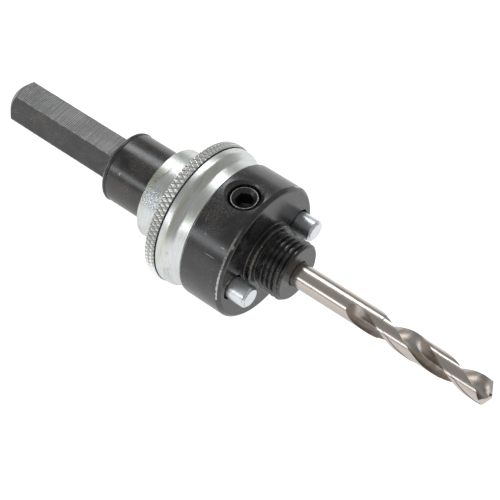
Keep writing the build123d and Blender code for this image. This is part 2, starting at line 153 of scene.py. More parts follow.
class ArborBodyLook(PropertyGroup):
    """Sizes of the shank, spindle, drum and spigot."""
    spindle: length("Spindle", "Diameter of the round spindle", 19.05)
    spindle_rear: length("Spindle rear", "Saw seat to the spindle's rear face", 45.9)
    spindle_chamfer: length("Spindle chamfer", "Chamfer at the spindle's rear edge", 0.4)
    hex_flats: length("Hexagon", "Across the shank's flats", 11.4)
    hex_end: length("Shank end", "Saw seat to the shank's end", 83.1)
    hex_chamfer: length("Shank chamfer", "Length of the turned chamfer on the end's flats", 1.55)
    hex_runout: length("Run-out", "Cutter radius where the flats rise to the spindle", 2.1)
    ring_rear: length("Ring groove rear", "Saw seat to the groove's rear wall", 45.43)
    ring_front: length("Ring groove front", "Saw seat to the groove's front wall", 44.47)
    ring_floor: length("Ring groove floor", "Radius of the groove's floor", 8.845)
    drum: length("Drum", "Diameter of the drum", 36.4)
    drum_width: length("Drum width", "Width of the drum", 12.4)
    drum_front: length("Drum front edge", "Chamfer at the drum's front edge", 0.85)
    drum_rear: length("Drum rear edge", "Chamfer at the drum's rear edge", 0.3)
    boss: length("Boss", "Diameter of the boss behind the thread", 17.275)
    boss_height: length("Boss height", "How far the boss stands off the drum", 1.75)
    thread: length("Thread", "Diameter of the saw thread", 15.875)
    thread_pitch: length("Thread pitch", "Pitch of the saw thread", 1.411)
    thread_depth: length("Thread depth", "Depth of the saw thread", 0.87)
    thread_front: length("Spigot", "Saw seat to the spigot's front face", 9.75)
    thread_relief: length("Thread relief", "Width of the groove behind the thread", 1.2)
    relief_depth: length("Relief depth", "Depth of that groove below the thread's crest", 1.0)
    lead_in: length("Lead-in", "Length of the taper at the spigot's front", 0.75)
    bore: length("Bore", "Diameter of the drill's bore", 6.45)
    bore_chamfer: length("Bore chamfer", "Chamfer at the bore's mouth", 0.35)
    bore_depth: length("Bore depth", "Saw seat to the bore's floor", 18.35)
    pin_hole: length("Pin hole", "Diameter of a drive pin's hole", 6.6)
    pin_circle: length("Pin circle", "Diameter of the drive pins' circle", 25.4)
    screw_hole: length("Screw hole", "Diameter of the set screw's hole", 8.1)
    screw_sink: length("Screw sink", "Overhang of the countersink round that hole", 1.05)
    screw_at: length("Screw place", "Saw seat to the set screw's axis", 6.2)
    oxide: tint("Oxide", "Colour of the black oxide", (0.008, 0.008, 0.009))
    # Pale handling marks; also laid along the top flat's milling lines as a painted sheen.
    dust: tint("Dust", "Colour of handling marks on the black oxide", (0.13, 0.128, 0.124))
    brown: tint("Brown oxide", "Colour of the oxide's brown tinge", (0.026, 0.016, 0.009))
    steel: tint("Steel", "Colour of steel worn bare", (0.62, 0.6, 0.57))
    grease: tint("Grease", "Colour of the amber specks of grease", (0.42, 0.27, 0.05))


class SleeveLook(PropertyGroup):
    """Sizes of the sliding sleeve and its knurled band."""
    bore: length("Sleeve bore", "Diameter of the sleeve's bore", 19.15)
    front: length("Sleeve front", "Saw seat to the sleeve's front face", 12.45)
    lip_width: length("Lip width", "Width of the lip at the front face", 0.5)
    lip_height: length("Lip height", "How far the lip stands above the neck", 0.35)
    neck: length("Neck", "Diameter of the neck", 35.2)
    neck_width: length("Neck width", "Width of the neck", 2.05)
    shoulder: length("Shoulder", "Length of the curve between neck and bead", 3.2)
    bead: length("Bead", "Diameter of the bead", 37.8)
    bead_width: length("Bead width", "Width of the bead's crown", 1.3)
    relief_width: length("Knurl relief", "Width of the groove before the knurl", 0.25)
    relief_depth: length("Knurl relief depth", "Depth of that groove below the bead", 0.5)
    knurl: length("Knurl", "Diameter over the knurled band", 38.7)
    knurl_width: length("Knurl width", "Width of the knurled band", 2.85)
    knurl_cell: length("Knurl cell", "Length of one diamond along the axis", 2.4)
    knurl_depth: length("Knurl depth", "Depth of the grooves between diamonds", 0.46)
    knurl_flat: length("Knurl flat", "What is missing from the tips of the diamonds", 0.06)
    knurl_chamfer: length("Knurl chamfer", "Chamfer at both ends of the band", 0.22)
    knurl_count: IntProperty(name="Knurl count", description="Diamonds round the band", default=90)
    hub: length("Hub", "Diameter of the hub", 24.85)
    rear: length("Sleeve rear", "Saw seat to the sleeve's rear face", 31.5)
    zinc: tint("Zinc", "Colour of the bright zinc", (0.72, 0.745, 0.75))
    passivation: tint("Passivation", "Yellowish tint in the zinc", (0.62, 0.63, 0.53))
    dull: tint("Dull zinc", "Colour of the darker specks and turning lines", (0.42, 0.44, 0.45))
    bloom: tint("Bloom", "Bluish mottling of the zinc on the hub", (0.2, 0.23, 0.27))
    crest: tint("Knurl crest", "Colour of the diamonds' rubbed flanks", (0.9, 0.91, 0.9))
    # Painted shade, with some grime, for the knurl's grooves.
    dirt_and_shade: tint("Knurl dirt", "Colour of the grooves between the diamonds", (0.34, 0.335, 0.31))


class PinLook(PropertyGroup):
    """Sizes of the two drive pins."""
    diameter: length("Pin", "Diameter of a drive pin", 5.8)
    reach: length("Pin reach", "Saw seat to a pin's front end", 5.4)
    chamfer: length("Pin chamfer", "Chamfer at a pin's front end", 0.55)
    neck: length("Pin neck", "Diameter of the stretch that runs through the drum", 5.4)
    setback: length("Neck setback", "End of the neck, behind the saw seat", 0.05)
    tenon: length("Tenon", "Diameter of the end pressed into the sleeve", 4.6)
    tenon_length: length("Tenon length", "Length of that end", 7.0)
    zinc: tint("Pin zinc", "Colour of the pins' zinc", (0.76, 0.81, 0.84))
    end: tint("Pin end", "Colour of paler zinc on the pins", (0.85, 0.86, 0.85))
    grime: tint("Pin grime", "Colour of the grime on a pin's chamfer", (0.12, 0.08, 0.05))


class SetScrewLook(PropertyGroup):
    """Sizes of the socket set screw."""
    diameter: length("Set screw", "Diameter of the set screw", 8.0)
    pitch: length("Screw pitch", "Pitch of its thread", 1.0)
    depth: length("Screw thread depth", "Depth of its thread", 0.5)
    top: length("Screw top", "Arbor's axis to the screw's top", 16.9)
    bottom: length("Screw bottom", "Arbor's axis to the screw's lower end", 3.195)
    top_chamfer: length("Screw chamfer", "Chamfer at the screw's top", 0.65)
    point: length("Screw point", "Chamfer at the screw's lower end", 1.2)
    socket: length("Socket", "Across the socket's flats", 4.0)
    socket_depth: length("Socket depth", "Depth of the socket", 4.5)
    oxide: tint("Screw oxide", "Colour of the screw's oxide", (0.01, 0.01, 0.01))
    rim: tint("Screw rim", "Colour of the screw's rubbed rim", (0.42, 0.41, 0.40))


class DrillLook(PropertyGroup):
    """Sizes of the pilot drill."""
    diameter: length("Drill", "Diameter of the pilot drill", 6.35)
    reach: length("Drill reach", "Saw seat to the very tip", 66.0)
    grip: length("Drill grip", "Length of shank behind the saw seat", 18.0)
    end_chamfer: length("Drill end chamfer", "Chamfer at the drill's rear end", 0.4)
    point: angle("Point angle", "Included angle of the point", 135)
    point_relief: angle("Point relief", "How steeply the point falls behind each lip", 11)
    start: length("Flute start", "Saw seat to the rear end of the flutes", 26.0)
    lead: length("Flute lead", "One full turn of a flute", 38.3)
    phase: angle("Flute phase", "Direction of the first cutting face at the saw seat", 157.5)
    web: length("Web", "Thickness of the web between the flutes", 1.15)
    floor: length("Flute floor", "Radius of a flute's floor", 1.3)
    lean: angle("Heel lean", "How far a flute's back wall leans towards the lip", 22)
    wheel: length("Grinding wheel", "Wheel radius where the flutes rise to the shank", 12.0)
    margin: length("Margin", "Width of the margin beside each lip", 1.0)
    relief: length("Land relief", "How far the land lies below the margin", 0.14)
    relief_start: length("Relief start", "Saw seat to where the lands drop", 35.0)
    relief_corner: length("Relief corner", "Rounding of the relief's first corner", 0.8)
    chisel_turn: angle("Chisel turn", "Angle from a cutting face to the chisel edge", 60)
    chisel: length("Chisel", "Width left of the chisel edge", 0.2)
    split_turn: angle("Split turn", "Angle from a lip to the wall of its gash", 30)
    split_fall: angle("Split fall", "Steepness of a gash's floor towards the flute", 27)
    split_heel_fall: angle("Split heel fall", "Steepness of that floor towards the heel", 42.5)
    steel: tint("Drill steel", "Colour of the bright shank", (0.54, 0.485, 0.44))
    pale: tint("Pale steel", "Colour of the shank's paler sweeps", (0.62, 0.59, 0.56))
    flute: tint("Flute steel", "Colour of the duller flutes", (0.52, 0.485, 0.46))
    stain: tint("Flute stain", "Colour of the brown stain in the flutes", (0.42, 0.355, 0.30))
    # Painted shade for the two gashes at the point.
    gash_shade: tint("Point steel", "Colour of the ground notch at the point", (0.10, 0.07, 0.055))


class RingLook(PropertyGroup):
    """Sizes of the stop ring."""
    outer: length("Ring", "Outer diameter of the stop ring", 19.35)
    inner: length("Ring inside", "Inner diameter of the stop ring", 17.75)
    front: length("Ring front", "Saw seat to the ring's front face", 44.5)
    rear: length("Ring rear", "Saw seat to the ring's rear face", 45.4)
    gap: angle("Ring gap", "Opening between the ring's ends", 16)
    gap_at: angle("Ring gap place", "Where that opening lies, from Y towards Z", 217)
    blue: tint("Blued steel", "Colour of the blued spring wire", (0.035, 0.035, 0.038))
    pale: tint("Rubbed wire", "Colour where the wire is rubbed", (0.09, 0.09, 0.095))


class StudioLook(PropertyGroup):
    """Lamps, floor and camera."""
    lens: FloatProperty(
        name="Lens", description="Focal length of the camera", default=118.8, unit="CAMERA")
    floor_drop: length(
        "Floor drop", "Room under the part for the sleeve, which slides back and down", 3.0)
    backdrop: tint("Backdrop", "Colour of the floor", (0.86, 0.86, 0.86))
    room: tint("Room", "Light that reaches the object from all sides", (0.50, 0.50, 0.50))
    ceiling: tint("Ceiling", "What bright metal mirrors from above", (0.37, 0.365, 0.36))


def mm(metres):
    """A length in millimetres."""
    return metres / MM


def rounded(corners, steps=4):
    """Points (x, radius, wear) of an outline whose corners (x, radius, rounding) are rounded."""
    points = []
    last = len(corners) - 1
    for index, (x, radius, rounding) in enumerate(corners):
        here = np.array([x, radius], float)
        if rounding <= 0 or index in (0, last):
            points.append((x, radius, 0.0))
            continue
        before = np.array(corners[index - 1][:2], float) - here
        after = np.array(corners[index + 1][:2], float) - here
        reach_before = np.linalg.norm(before)
        reach_after = np.linalg.norm(after)
        before /= reach_before
        after /= reach_after
        half = np.arccos(np.clip(before @ after, -1, 1)) / 2
        reach = min(rounding / tan(half), 0.45 * reach_before, 0.45 * reach_after)
        radius_used = reach * tan(half)
        middle = before + after
        centre = here + middle / np.linalg.norm(middle) * radius_used / sin(half)
        start = here + before * reach
        end = here + after * reach
        support = 0.12 * reach
        points.append((*(start + before * support), 0.0))
        for step in range(steps + 1):
            part = step / steps
            chord = start + (end - start) * part - centre
            on_arc = centre + chord / np.linalg.norm(chord) * radius_used
            points.append((*on_arc, 1.0))
        points.append((*(end + after * support), 0.0))
    return points


def around(count=ROUND_STEPS):
    """Angles about the arbor's axis, from Y towards Z."""
    return np.arange(count) * 2 * pi / count


def rings_of(outline, turns):
    """Rings of points, turned about X, for an outline of (x, radius) with or without more."""
    rings = []
    for x, radius, *_ in outline:
        radii = np.broadcast_to(radius, turns.shape)
        places = np.broadcast_to(x, turns.shape)
        rings.append(np.stack([places, radii * np.cos(turns), radii * np.sin(turns)], axis=1))
    return np.array(rings)


def add_mark(mesh, name, values):
    """A point attribute, with a value for each vertex of a mesh."""
    attribute = mesh.attributes.new(name, "FLOAT", "POINT")
    attribute.data.foreach_set("value", np.asarray(values, np.float32))


def grid_mesh(name, rings, wear=None, loop=False, extra=None, triangles=()):
    """A mesh with a quad between neighbouring points of neighbouring rings. With loop, the last
    ring meets the first. wear has one value a ring. extra points and triangles may close an
    end."""
    count, steps = rings.shape[:2]
    index = np.arange(count * steps).reshape(count, steps)
    first = index if loop else index[:-1]
    second = np.roll(index, -1, axis=0) if loop else index[1:]
    quads = np.stack(
        [first, np.roll(first, -1, axis=1), np.roll(second, -1, axis=1), second], axis=-1)
    places = rings.reshape(-1, 3)
    if extra is not None:
        places = np.concatenate([places, extra])
    mesh = bpy.data.meshes.new(name)
    mesh.from_pydata(places.tolist(), [], quads.reshape(-1, 4).tolist() + list(triangles))
    if wear is not None:
        add_mark(mesh, WEAR, np.repeat(wear, steps))
    mesh.update()
    return mesh


def finish_mesh(mesh, sharp=40.0):
    """Closes poles and seams, turns the faces outwards and shades all but sharp edges smooth."""
    work = bmesh.new()
    work.from_mesh(mesh)
    bmesh.ops.remove_doubles(work, verts=work.verts, dist=MERGE)
    bmesh.ops.dissolve_degenerate(work, edges=work.edges, dist=MERGE / 10)
    bmesh.ops.recalc_face_normals(work, faces=work.faces)
    work.to_mesh(mesh)
    work.free()
    mesh.polygons.foreach_set("use_smooth", [True] * len(mesh.polygons))
    mesh.set_sharp_from_angle(angle=radians(sharp))
    mesh.update()
    return mesh


def new_object(name, data):
    """A scene object for a mesh, a lamp or a camera."""
    thing = bpy.data.objects.new(name, data)
    bpy.context.scene.collection.objects.link(thing)
    return thing


def settle(thing, body, material, replaced):
    """Places a finished piece in the shared frame and tells the frame what it stands for."""
    thing.data.transform(PLACE)
    thing.data.update()
    thing.data.materials.clear()
    thing.data.materials.append(material)
    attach(thing, body)
    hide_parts(replaced)


def evaluated_mesh(thing):
    """Turns an object with modifiers into its plain result."""
    bpy.context.view_layer.update()
    shown = thing.evaluated_get(bpy.context.evaluated_depsgraph_get())
    mesh = bpy.data.meshes.new_from_object(shown)
    thing.modifiers.clear()
    old = thing.data
    thing.data = mesh
    bpy.data.meshes.remove(old)


def carve(thing, cutters):
    """Cuts closed meshes out of an object and removes the cutters."""
    for cutter in cutters:
        cut = thing.modifiers.new("cut", "BOOLEAN")
        cut.operation = "DIFFERENCE"
        cut.solver = "EXACT"
        cut.object = cutter
    evaluated_mesh(thing)
    for cutter in cutters:
        bpy.data.objects.remove(cutter)


def stand(mesh, x):
    """Turns a mesh made about X so that it stands along Z at the place x."""
    mesh.transform(Matrix.Translation((x, 0, 0)) @ Matrix.Rotation(-pi / 2, 4, "Y"))
    return mesh


class NodeTree:
    """The nodes of one tree, added step by step."""

    def __init__(self, tree):
        self.tree = tree

    def feed(self, socket, source):
        """Links a source to a socket, or sets the socket to a plain value."""
        if isinstance(source, bpy.types.NodeSocket):
            self.tree.links.new(source, socket)
        elif source is not None:
            if socket.type == "RGBA":
                source = (*source, 1)
            socket.default_value = source

    def add(self, kind, inputs=None, **settings):
        """A new node, with its settings and its inputs by name or number."""
        node = self.tree.nodes.new(kind)
        for name, value in settings.items():
            setattr(node, name, value)
        for key, source in (inputs or {}).items():
            self.feed(node.inputs[key], source)
        return node

    def maths(self, operation, first, *others):
        """One sum on a value, done again for each of the others."""
        for other in others or (None,):
            first = self.add("ShaderNodeMath", {0: first, 1: other}, operation=operation).outputs[0]
        return first

    def plus(self, *values):
        """Values added up."""
        return self.maths("ADD", *values)

    def times(self, *values):
        """Values multiplied."""
        return self.maths("MULTIPLY", *values)

    def most(self, *values):
        """The largest of several values."""
        return self.maths("MAXIMUM", *values)

    def split(self, vector):
        """The three parts of a vector."""
        return self.add("ShaderNodeSeparateXYZ", {0: vector}).outputs

    def join(self, x, y, z):
        """A vector from three parts."""
        return self.add("ShaderNodeCombineXYZ", {0: x, 1: y, 2: z}).outputs[0]

    def span(self, value, low, high, start=0.0, end=1.0):
        """A value mapped smoothly from low..high to start..end and held there."""
        inputs = {"Value": value, "From Min": low, "From Max": high, "To Min": start,
                  "To Max": end}
        return self.add("ShaderNodeMapRange", inputs, interpolation_type="SMOOTHSTEP").outputs[0]

    def mix(self, share, first, second):
        """A colour between two."""
        inputs = {0: share, 6: first, 7: second}
        return self.add("ShaderNodeMix", inputs, data_type="RGBA").outputs[2]


class Recipe(NodeTree):
    """One material, built up round its main shader."""

    def __init__(self, name, colour, metallic, roughness):
        self.material = bpy.data.materials.new(name)
        self.material.use_nodes = True
        self.material.diffuse_color = (*colour, 1)
        super().__init__(self.material.node_tree)
        self.shader = self.tree.nodes["Principled BSDF"]
        self.feed(self.shader.inputs["Base Color"], colour)
        self.feed(self.shader.inputs["Metallic"], metallic)
        self.feed(self.shader.inputs["Roughness"], roughness)

    def place(self):
        """Object coordinates turned back to the arbor's own frame, in millimetres."""
        return self.add("ShaderNodeMapping", {
            "Vector": self.add("ShaderNodeTexCoord").outputs["Object"],
            "Location": SEAT,
            "Rotation": TURN.to_euler(),
            "Scale": (MM, MM, MM),
        }, vector_type="TEXTURE").outputs["Vector"]

    def stretch(self, vector, scale):
        """A vector with each part multiplied."""
        inputs = {0: vector, 1: scale}
        return self.add("ShaderNodeVectorMath", inputs, operation="MULTIPLY").outputs[0]

    def polar(self, vector):
        """Along, radius and angle about the arbor's axis."""
        x, y, z = self.split(vector)
        radius = self.maths("SQRT", self.plus(self.times(y, y), self.times(z, z)))
        return x, radius, self.maths("ARCTAN2", z, y)

    def noise(self, vector, scale, detail=2.0, roughness=0.5, distortion=0.0):
        """Soft random values from 0 to 1."""
        inputs = {"Vector": vector, "Scale": scale, "Detail": detail,
                  "Roughness": roughness, "Distortion": distortion}
        return self.add("ShaderNodeTexNoise", inputs).outputs[0]

    def blot(self, place, centre, reach):
        """1 at a centre, fading to 0 at the reach along each axis."""
        offset = self.add("ShaderNodeVectorMath", {0: place, 1: centre}, operation="SUBTRACT")
        scaled = self.stretch(offset.outputs[0], tuple(1 / part for part in reach))
        distance = self.add("ShaderNodeVectorMath", {0: scaled}, operation="LENGTH")
        return self.span(distance.outputs["Value"], 1.0, 0.55)

    def blots(self, place, marks):
        """The strongest of several blots, each a centre and a reach."""
        return self.most(*(self.blot(place, centre, reach) for centre, reach in marks))

    def mark(self, name):
        """A point attribute of the mesh."""
        return self.add("ShaderNodeAttribute", attribute_name=name).outputs["Fac"]

    def blend(self, share, first, second):
        """A number between two."""
        inputs = {0: share, 2: first, 3: second}
        return self.add("ShaderNodeMix", inputs, data_type="FLOAT").outputs[0]

    def bump(self, height, strength, distance):
        """A normal tilted by a height."""
        inputs = {"Height": height, "Strength": strength, "Distance": distance * MM}
        return self.add("ShaderNodeBump", inputs).outputs[0]

    def finish(self, colour=None, roughness=None, metallic=None, normal=None):
        """Links what varies to the shader."""
        for name, source in (("Base Color", colour), ("Roughness", roughness),
                             ("Metallic", metallic), ("Normal", normal)):
            self.feed(self.shader.inputs[name], source)
        return self.material


def black_oxide(look):
    """Turned and milled steel with black oxide, handling marks and edges worn bare, with a painted sheen on the
    top flat's milling lines and a painted highlight along one side of the turned edges.
    """
    recipe = Recipe("black_oxide_steel", look.oxide, 0.0, 0.3)
    recipe.feed(recipe.shader.inputs["IOR"], 1.7)
    place = recipe.place()
    along, radius, turn = recipe.polar(place)
    z = recipe.split(place)[2]
    rear = -mm(look.spindle_rear)
    apothem = mm(look.hex_flats) / 2
    tip = apothem / cos(pi / 6)
    drum_back = -mm(look.drum_width)
    grain = recipe.noise(place, 6.0, 2.0, 0.6)
    speckle = recipe.noise(place, 4.5, 3.0, 0.65)
    patches = recipe.noise(place, 0.16, 3.0, 0.6, 0.6)
    drawn = recipe.stretch(place, (0.5, 1.0, 1.0))
    handled = recipe.noise(drawn, 0.22, 3.0, 0.6, 0.8)

    # Milling lines across the shank, clearest on the flat that faces as the set screw does, the top flat, where
    # they are painted paler and bare as a painted sheen.
    shank = recipe.span(along, rear + 1.7, rear + 0.7)
    upper = recipe.times(shank, recipe.span(z, apothem - 0.2, apothem - 0.04))
    milling = recipe.noise(recipe.stretch(place, (2.2, 0.1, 0.1)), 1.0, 3.0, 0.6)
    feed = recipe.plus(recipe.times(along, 2 * pi / MILLING_FEED), recipe.times(milling, 3.0))
    ridges = recipe.span(recipe.maths("SINE", feed), -0.6, 0.9)
    scored = recipe.times(shank, ridges, recipe.span(milling, 0.3, 0.62))

    # Pale marks of handling, and the top flat's milling lines painted paler as a painted sheen.
    dust_and_sheen = recipe.most(
        recipe.times(recipe.span(patches, 0.38, 0.66), recipe.span(speckle, 0.44, 0.7)),
        recipe.times(shank, recipe.span(handled, 0.5, 0.68), 0.45),
        recipe.times(scored, recipe.blend(upper, 0.1, 1.0)))

    # Steel laid bare on the shank's corners, on turned edges and in scratches. On the edges it is wear in random
    # patches, plus a painted highlight all along one side, from 1.9 rad round.
    seam = recipe.noise(drawn, 1.4, 3.0, 0.7)
    corner = recipe.times(
        shank, recipe.span(radius, tip - 0.2, tip - 0.02),
        recipe.span(radius, tip + 0.32, tip + 0.12), recipe.span(seam, 0.44, 0.6))
    # Painted highlight: the window by angle lays bare steel along one side of the edges.
    worn = recipe.most(recipe.span(recipe.noise(place, 0.12, 2.0, 0.6), 0.54, 0.66),
                       recipe.span(turn, 1.9, 2.4))
    from_edge = recipe.maths("ABSOLUTE", recipe.plus(along, mm(look.drum_front) - 0.05))
    outer = recipe.most(recipe.span(along, -2.0, -2.2), recipe.span(from_edge, 0.3, 0.2),
                        recipe.span(radius, 10.5, 9.5, 0.0, 0.3))
    edges = recipe.times(recipe.mark(WEAR), worn, outer, recipe.span(speckle, 0.38, 0.52))
    scratch_place = recipe.join(along, recipe.times(turn, 2.52), radius)
    scratch = recipe.noise(scratch_place, 1.3, 4.0, 0.75, 1.2)
    bare = recipe.most(
        edges,
        recipe.times(corner, 0.35),
        # Painted sheen: the top flat's milling lines laid bare in slow patches.
        recipe.times(scored, upper, recipe.span(handled, 0.38, 0.62, 0.12, 0.42)),
        recipe.times(recipe.blots(place, SCRATCHES), 0.55),
        recipe.times(recipe.span(scratch, 0.64, 0.69), recipe.span(patches, 0.48, 0.56), 0.6))

    brown = recipe.times(recipe.span(recipe.noise(place, 0.3, 3.0, 0.6), 0.44, 0.64),
                         recipe.span(along, drum_back + 0.4, drum_back - 1.6, 0.35, 1.0))
    colour = recipe.mix(brown, look.oxide, look.brown)
    colour = recipe.mix(dust_and_sheen, colour, look.dust)
    colour = recipe.mix(bare, colour, look.steel)
    colour = recipe.mix(recipe.blots(place, GREASE_SPOTS), colour, look.grease)
    roughness = recipe.blend(dust_and_sheen, recipe.span(grain, 0.35, 0.7, 0.19, 0.27), 0.42)
    turning = recipe.noise(
        recipe.join(recipe.plus(along, radius), 0.0, recipe.times(turn, 0.6)), 7.0, 2.0)
    height = recipe.plus(
        recipe.times(grain, 0.3), recipe.times(turning, 0.8), recipe.times(scored, 2.6))
    return recipe.finish(colour, roughness, bare, recipe.bump(height, 0.35, 0.012))


def band_ends(look):
    """Places of the knurled band's front and rear, in millimetres."""
    front = -mm(look.front + look.lip_width + look.neck_width + look.shoulder
                + look.bead_width + look.relief_width)
    return front, front - mm(look.knurl_width)


def bright_zinc(look):
    """Turned zinc with fine rings, a mottled bloom, a yellowish tint, and painted shade with some grime in the
    knurl's grooves.
    """
    recipe = Recipe("zinc_plated_steel", look.zinc, 1.0, 0.2)
    place = recipe.place()
    along, radius, turn = recipe.polar(place)
    front, rear = band_ends(look)
    crest = mm(look.knurl) / 2
    bloom = recipe.noise(place, 1.6, 3.0, 0.7)
    spangle = recipe.noise(place, 3.4, 3.0, 0.7)
    tinted = recipe.noise(recipe.join(along, radius, recipe.times(turn, 3.0)), 0.3, 2.0)
    ring_place = recipe.join(recipe.plus(along, radius), 0.0, recipe.times(turn, 0.5))
    rings = recipe.noise(ring_place, 6.0, 3.0, 0.7)
    bands = recipe.noise(ring_place, 1.6, 2.0, 0.6)

    hub = recipe.span(along, rear - 0.1, rear - 0.8)
    patch = recipe.times(recipe.span(turn, 2.12, 2.26), recipe.span(turn, 2.7, 2.5))
    patch = recipe.times(hub, recipe.most(patch, recipe.span(tinted, 0.6, 0.75)))
    band = recipe.times(recipe.span(along, rear - 0.15, rear + 0.05),
                        recipe.span(along, front + 0.2, front))
    # Painted shade, with some grime, deep in the knurl's grooves, where light hardly reaches.
    groove = recipe.times(band, recipe.span(radius, crest - 0.28, crest - 0.4))

    colour = recipe.mix(recipe.span(tinted, 0.42, 0.7), look.zinc, look.passivation)
    colour = recipe.mix(
        recipe.times(patch, recipe.span(spangle, 0.44, 0.6), 0.9), colour, look.bloom)
    colour = recipe.mix(recipe.times(recipe.span(rings, 0.5, 0.62), 0.5), colour, look.dull)
    colour = recipe.mix(band, colour, look.crest)
    colour = recipe.mix(groove, colour, look.dirt_and_shade)
    roughness = recipe.blend(patch, recipe.span(bloom, 0.35, 0.7, 0.28, 0.38), 0.2)
    roughness = recipe.blend(band, roughness, 0.28)
    height = recipe.plus(rings, recipe.times(bands, 2.0), recipe.times(spangle, patch, 60.0))
    return recipe.finish(colour, roughness, None, recipe.bump(height, 0.35, 0.006))


def pin_zinc(look):
    """Bluish zinc on the drive pins, with grime in the chamfer."""
    recipe = Recipe("zinc_plated_pin", look.zinc, 0.88, 0.3)
    place = recipe.place()
    bloom = recipe.noise(place, 1.1, 2.0, 0.5)
    spots = recipe.noise(place, 1.7, 3.0, 0.7)
    grime = recipe.times(recipe.mark(WEAR), recipe.span(spots, 0.44, 0.58), 0.75)
    colour = recipe.mix(recipe.span(bloom, 0.5, 0.7), look.zinc, look.end)
    colour = recipe.mix(grime, colour, look.grime)
    roughness = recipe.span(bloom, 0.3, 0.7, 0.28, 0.36)
    return recipe.finish(colour, roughness, None, recipe.bump(bloom, 0.15, 0.004))


def drill_steel(look):
    """Ground shank, duller flutes, painted shade in the notch at the point."""
    recipe = Recipe("bright_drill_steel", look.steel, 1.0, 0.16)
    place = recipe.place()
    along, radius, turn = recipe.polar(place)
    grinding = recipe.noise(
        recipe.join(recipe.times(along, 2.0), 0.0, recipe.times(turn, 0.3)), 3.0, 2.0)
    sweep = recipe.noise(
        recipe.join(recipe.times(along, 0.05), recipe.times(turn, 4.0), radius), 1.6, 2.0)
    cloud = recipe.noise(place, 0.45, 2.0, 0.5)
    fluted = recipe.mark(BARE)
    # Painted shade: the point's two gashes coloured dark brown.
    gash_shade = recipe.times(recipe.span(recipe.mark(WEAR), 0.6, 0.9), 0.8)
    stained = recipe.mix(recipe.span(cloud, 0.36, 0.62), look.flute, look.stain)
    shank = recipe.mix(recipe.times(recipe.span(sweep, 0.4, 0.65), 0.4), look.steel, look.pale)
    colour = recipe.mix(gash_shade, recipe.mix(fluted, shank, stained), look.gash_shade)
    roughness = recipe.blend(fluted, recipe.span(cloud, 0.3, 0.7, 0.18, 0.23), 0.33)
    return recipe.finish(colour, roughness, None, recipe.bump(grinding, 0.2, 0.0008))


def screw_oxide(look):
    """Darker oxide of the set screw, rubbed bright on its rim."""
    recipe = Recipe("black_screw_steel", look.oxide, 0.0, 0.3)
    recipe.feed(recipe.shader.inputs["IOR"], 1.6)
    grain = recipe.noise(recipe.place(), 6.0, 2.0)
    rubbed = recipe.times(recipe.mark(WEAR), recipe.span(grain, 0.4, 0.56))
    colour = recipe.mix(rubbed, look.oxide, look.rim)
    roughness = recipe.span(grain, 0.3, 0.7, 0.2, 0.34)
    return recipe.finish(colour, roughness, rubbed, recipe.bump(grain, 0.2, 0.008))


def spring_steel(look):
    """Blued spring wire."""
    recipe = Recipe("spring_steel", look.blue, 0.6, 0.3)
    grain = recipe.noise(recipe.place(), 5.0, 2.0)
    return recipe.finish(recipe.mix(grain, look.blue, look.pale),
                         recipe.span(grain, 0.3, 0.7, 0.22, 0.38))


def ball_steel():
    """Polished hardened balls."""
    recipe = Recipe("hardened_ball_steel", (0.6, 0.6, 0.6), 1.0, 0.1)
    grain = recipe.noise(recipe.place(), 4.0, 2.0)
    return recipe.finish(roughness=recipe.span(grain, 0.3, 0.7, 0.06, 0.14))


def hexagon(apothem, turns):
    """Radius of a hexagon with a flat towards Z, at each angle."""
    from_flat = np.mod(turns - pi / 2 + pi / 6, pi / 3) - pi / 6
    return apothem / np.cos(from_flat)


def thread_height(x, turns, pitch, depth):
    """How far a thread's surface lies below its crest, with small flats at crest and root."""
    phase = np.mod(x / pitch - turns / (2 * pi), 1.0)
    slope = np.abs(phase - 0.5) * 2
    return depth * np.clip((slope - 0.12) / 0.68, 0, 1)


def turned(points, turn):
    """Points (u, v) turned about the axis into their (y, z)."""
    u, v = points[:, 0], points[:, 1]
    return u * np.cos(turn) - v * np.sin(turn), u * np.sin(turn) + v * np.cos(turn)


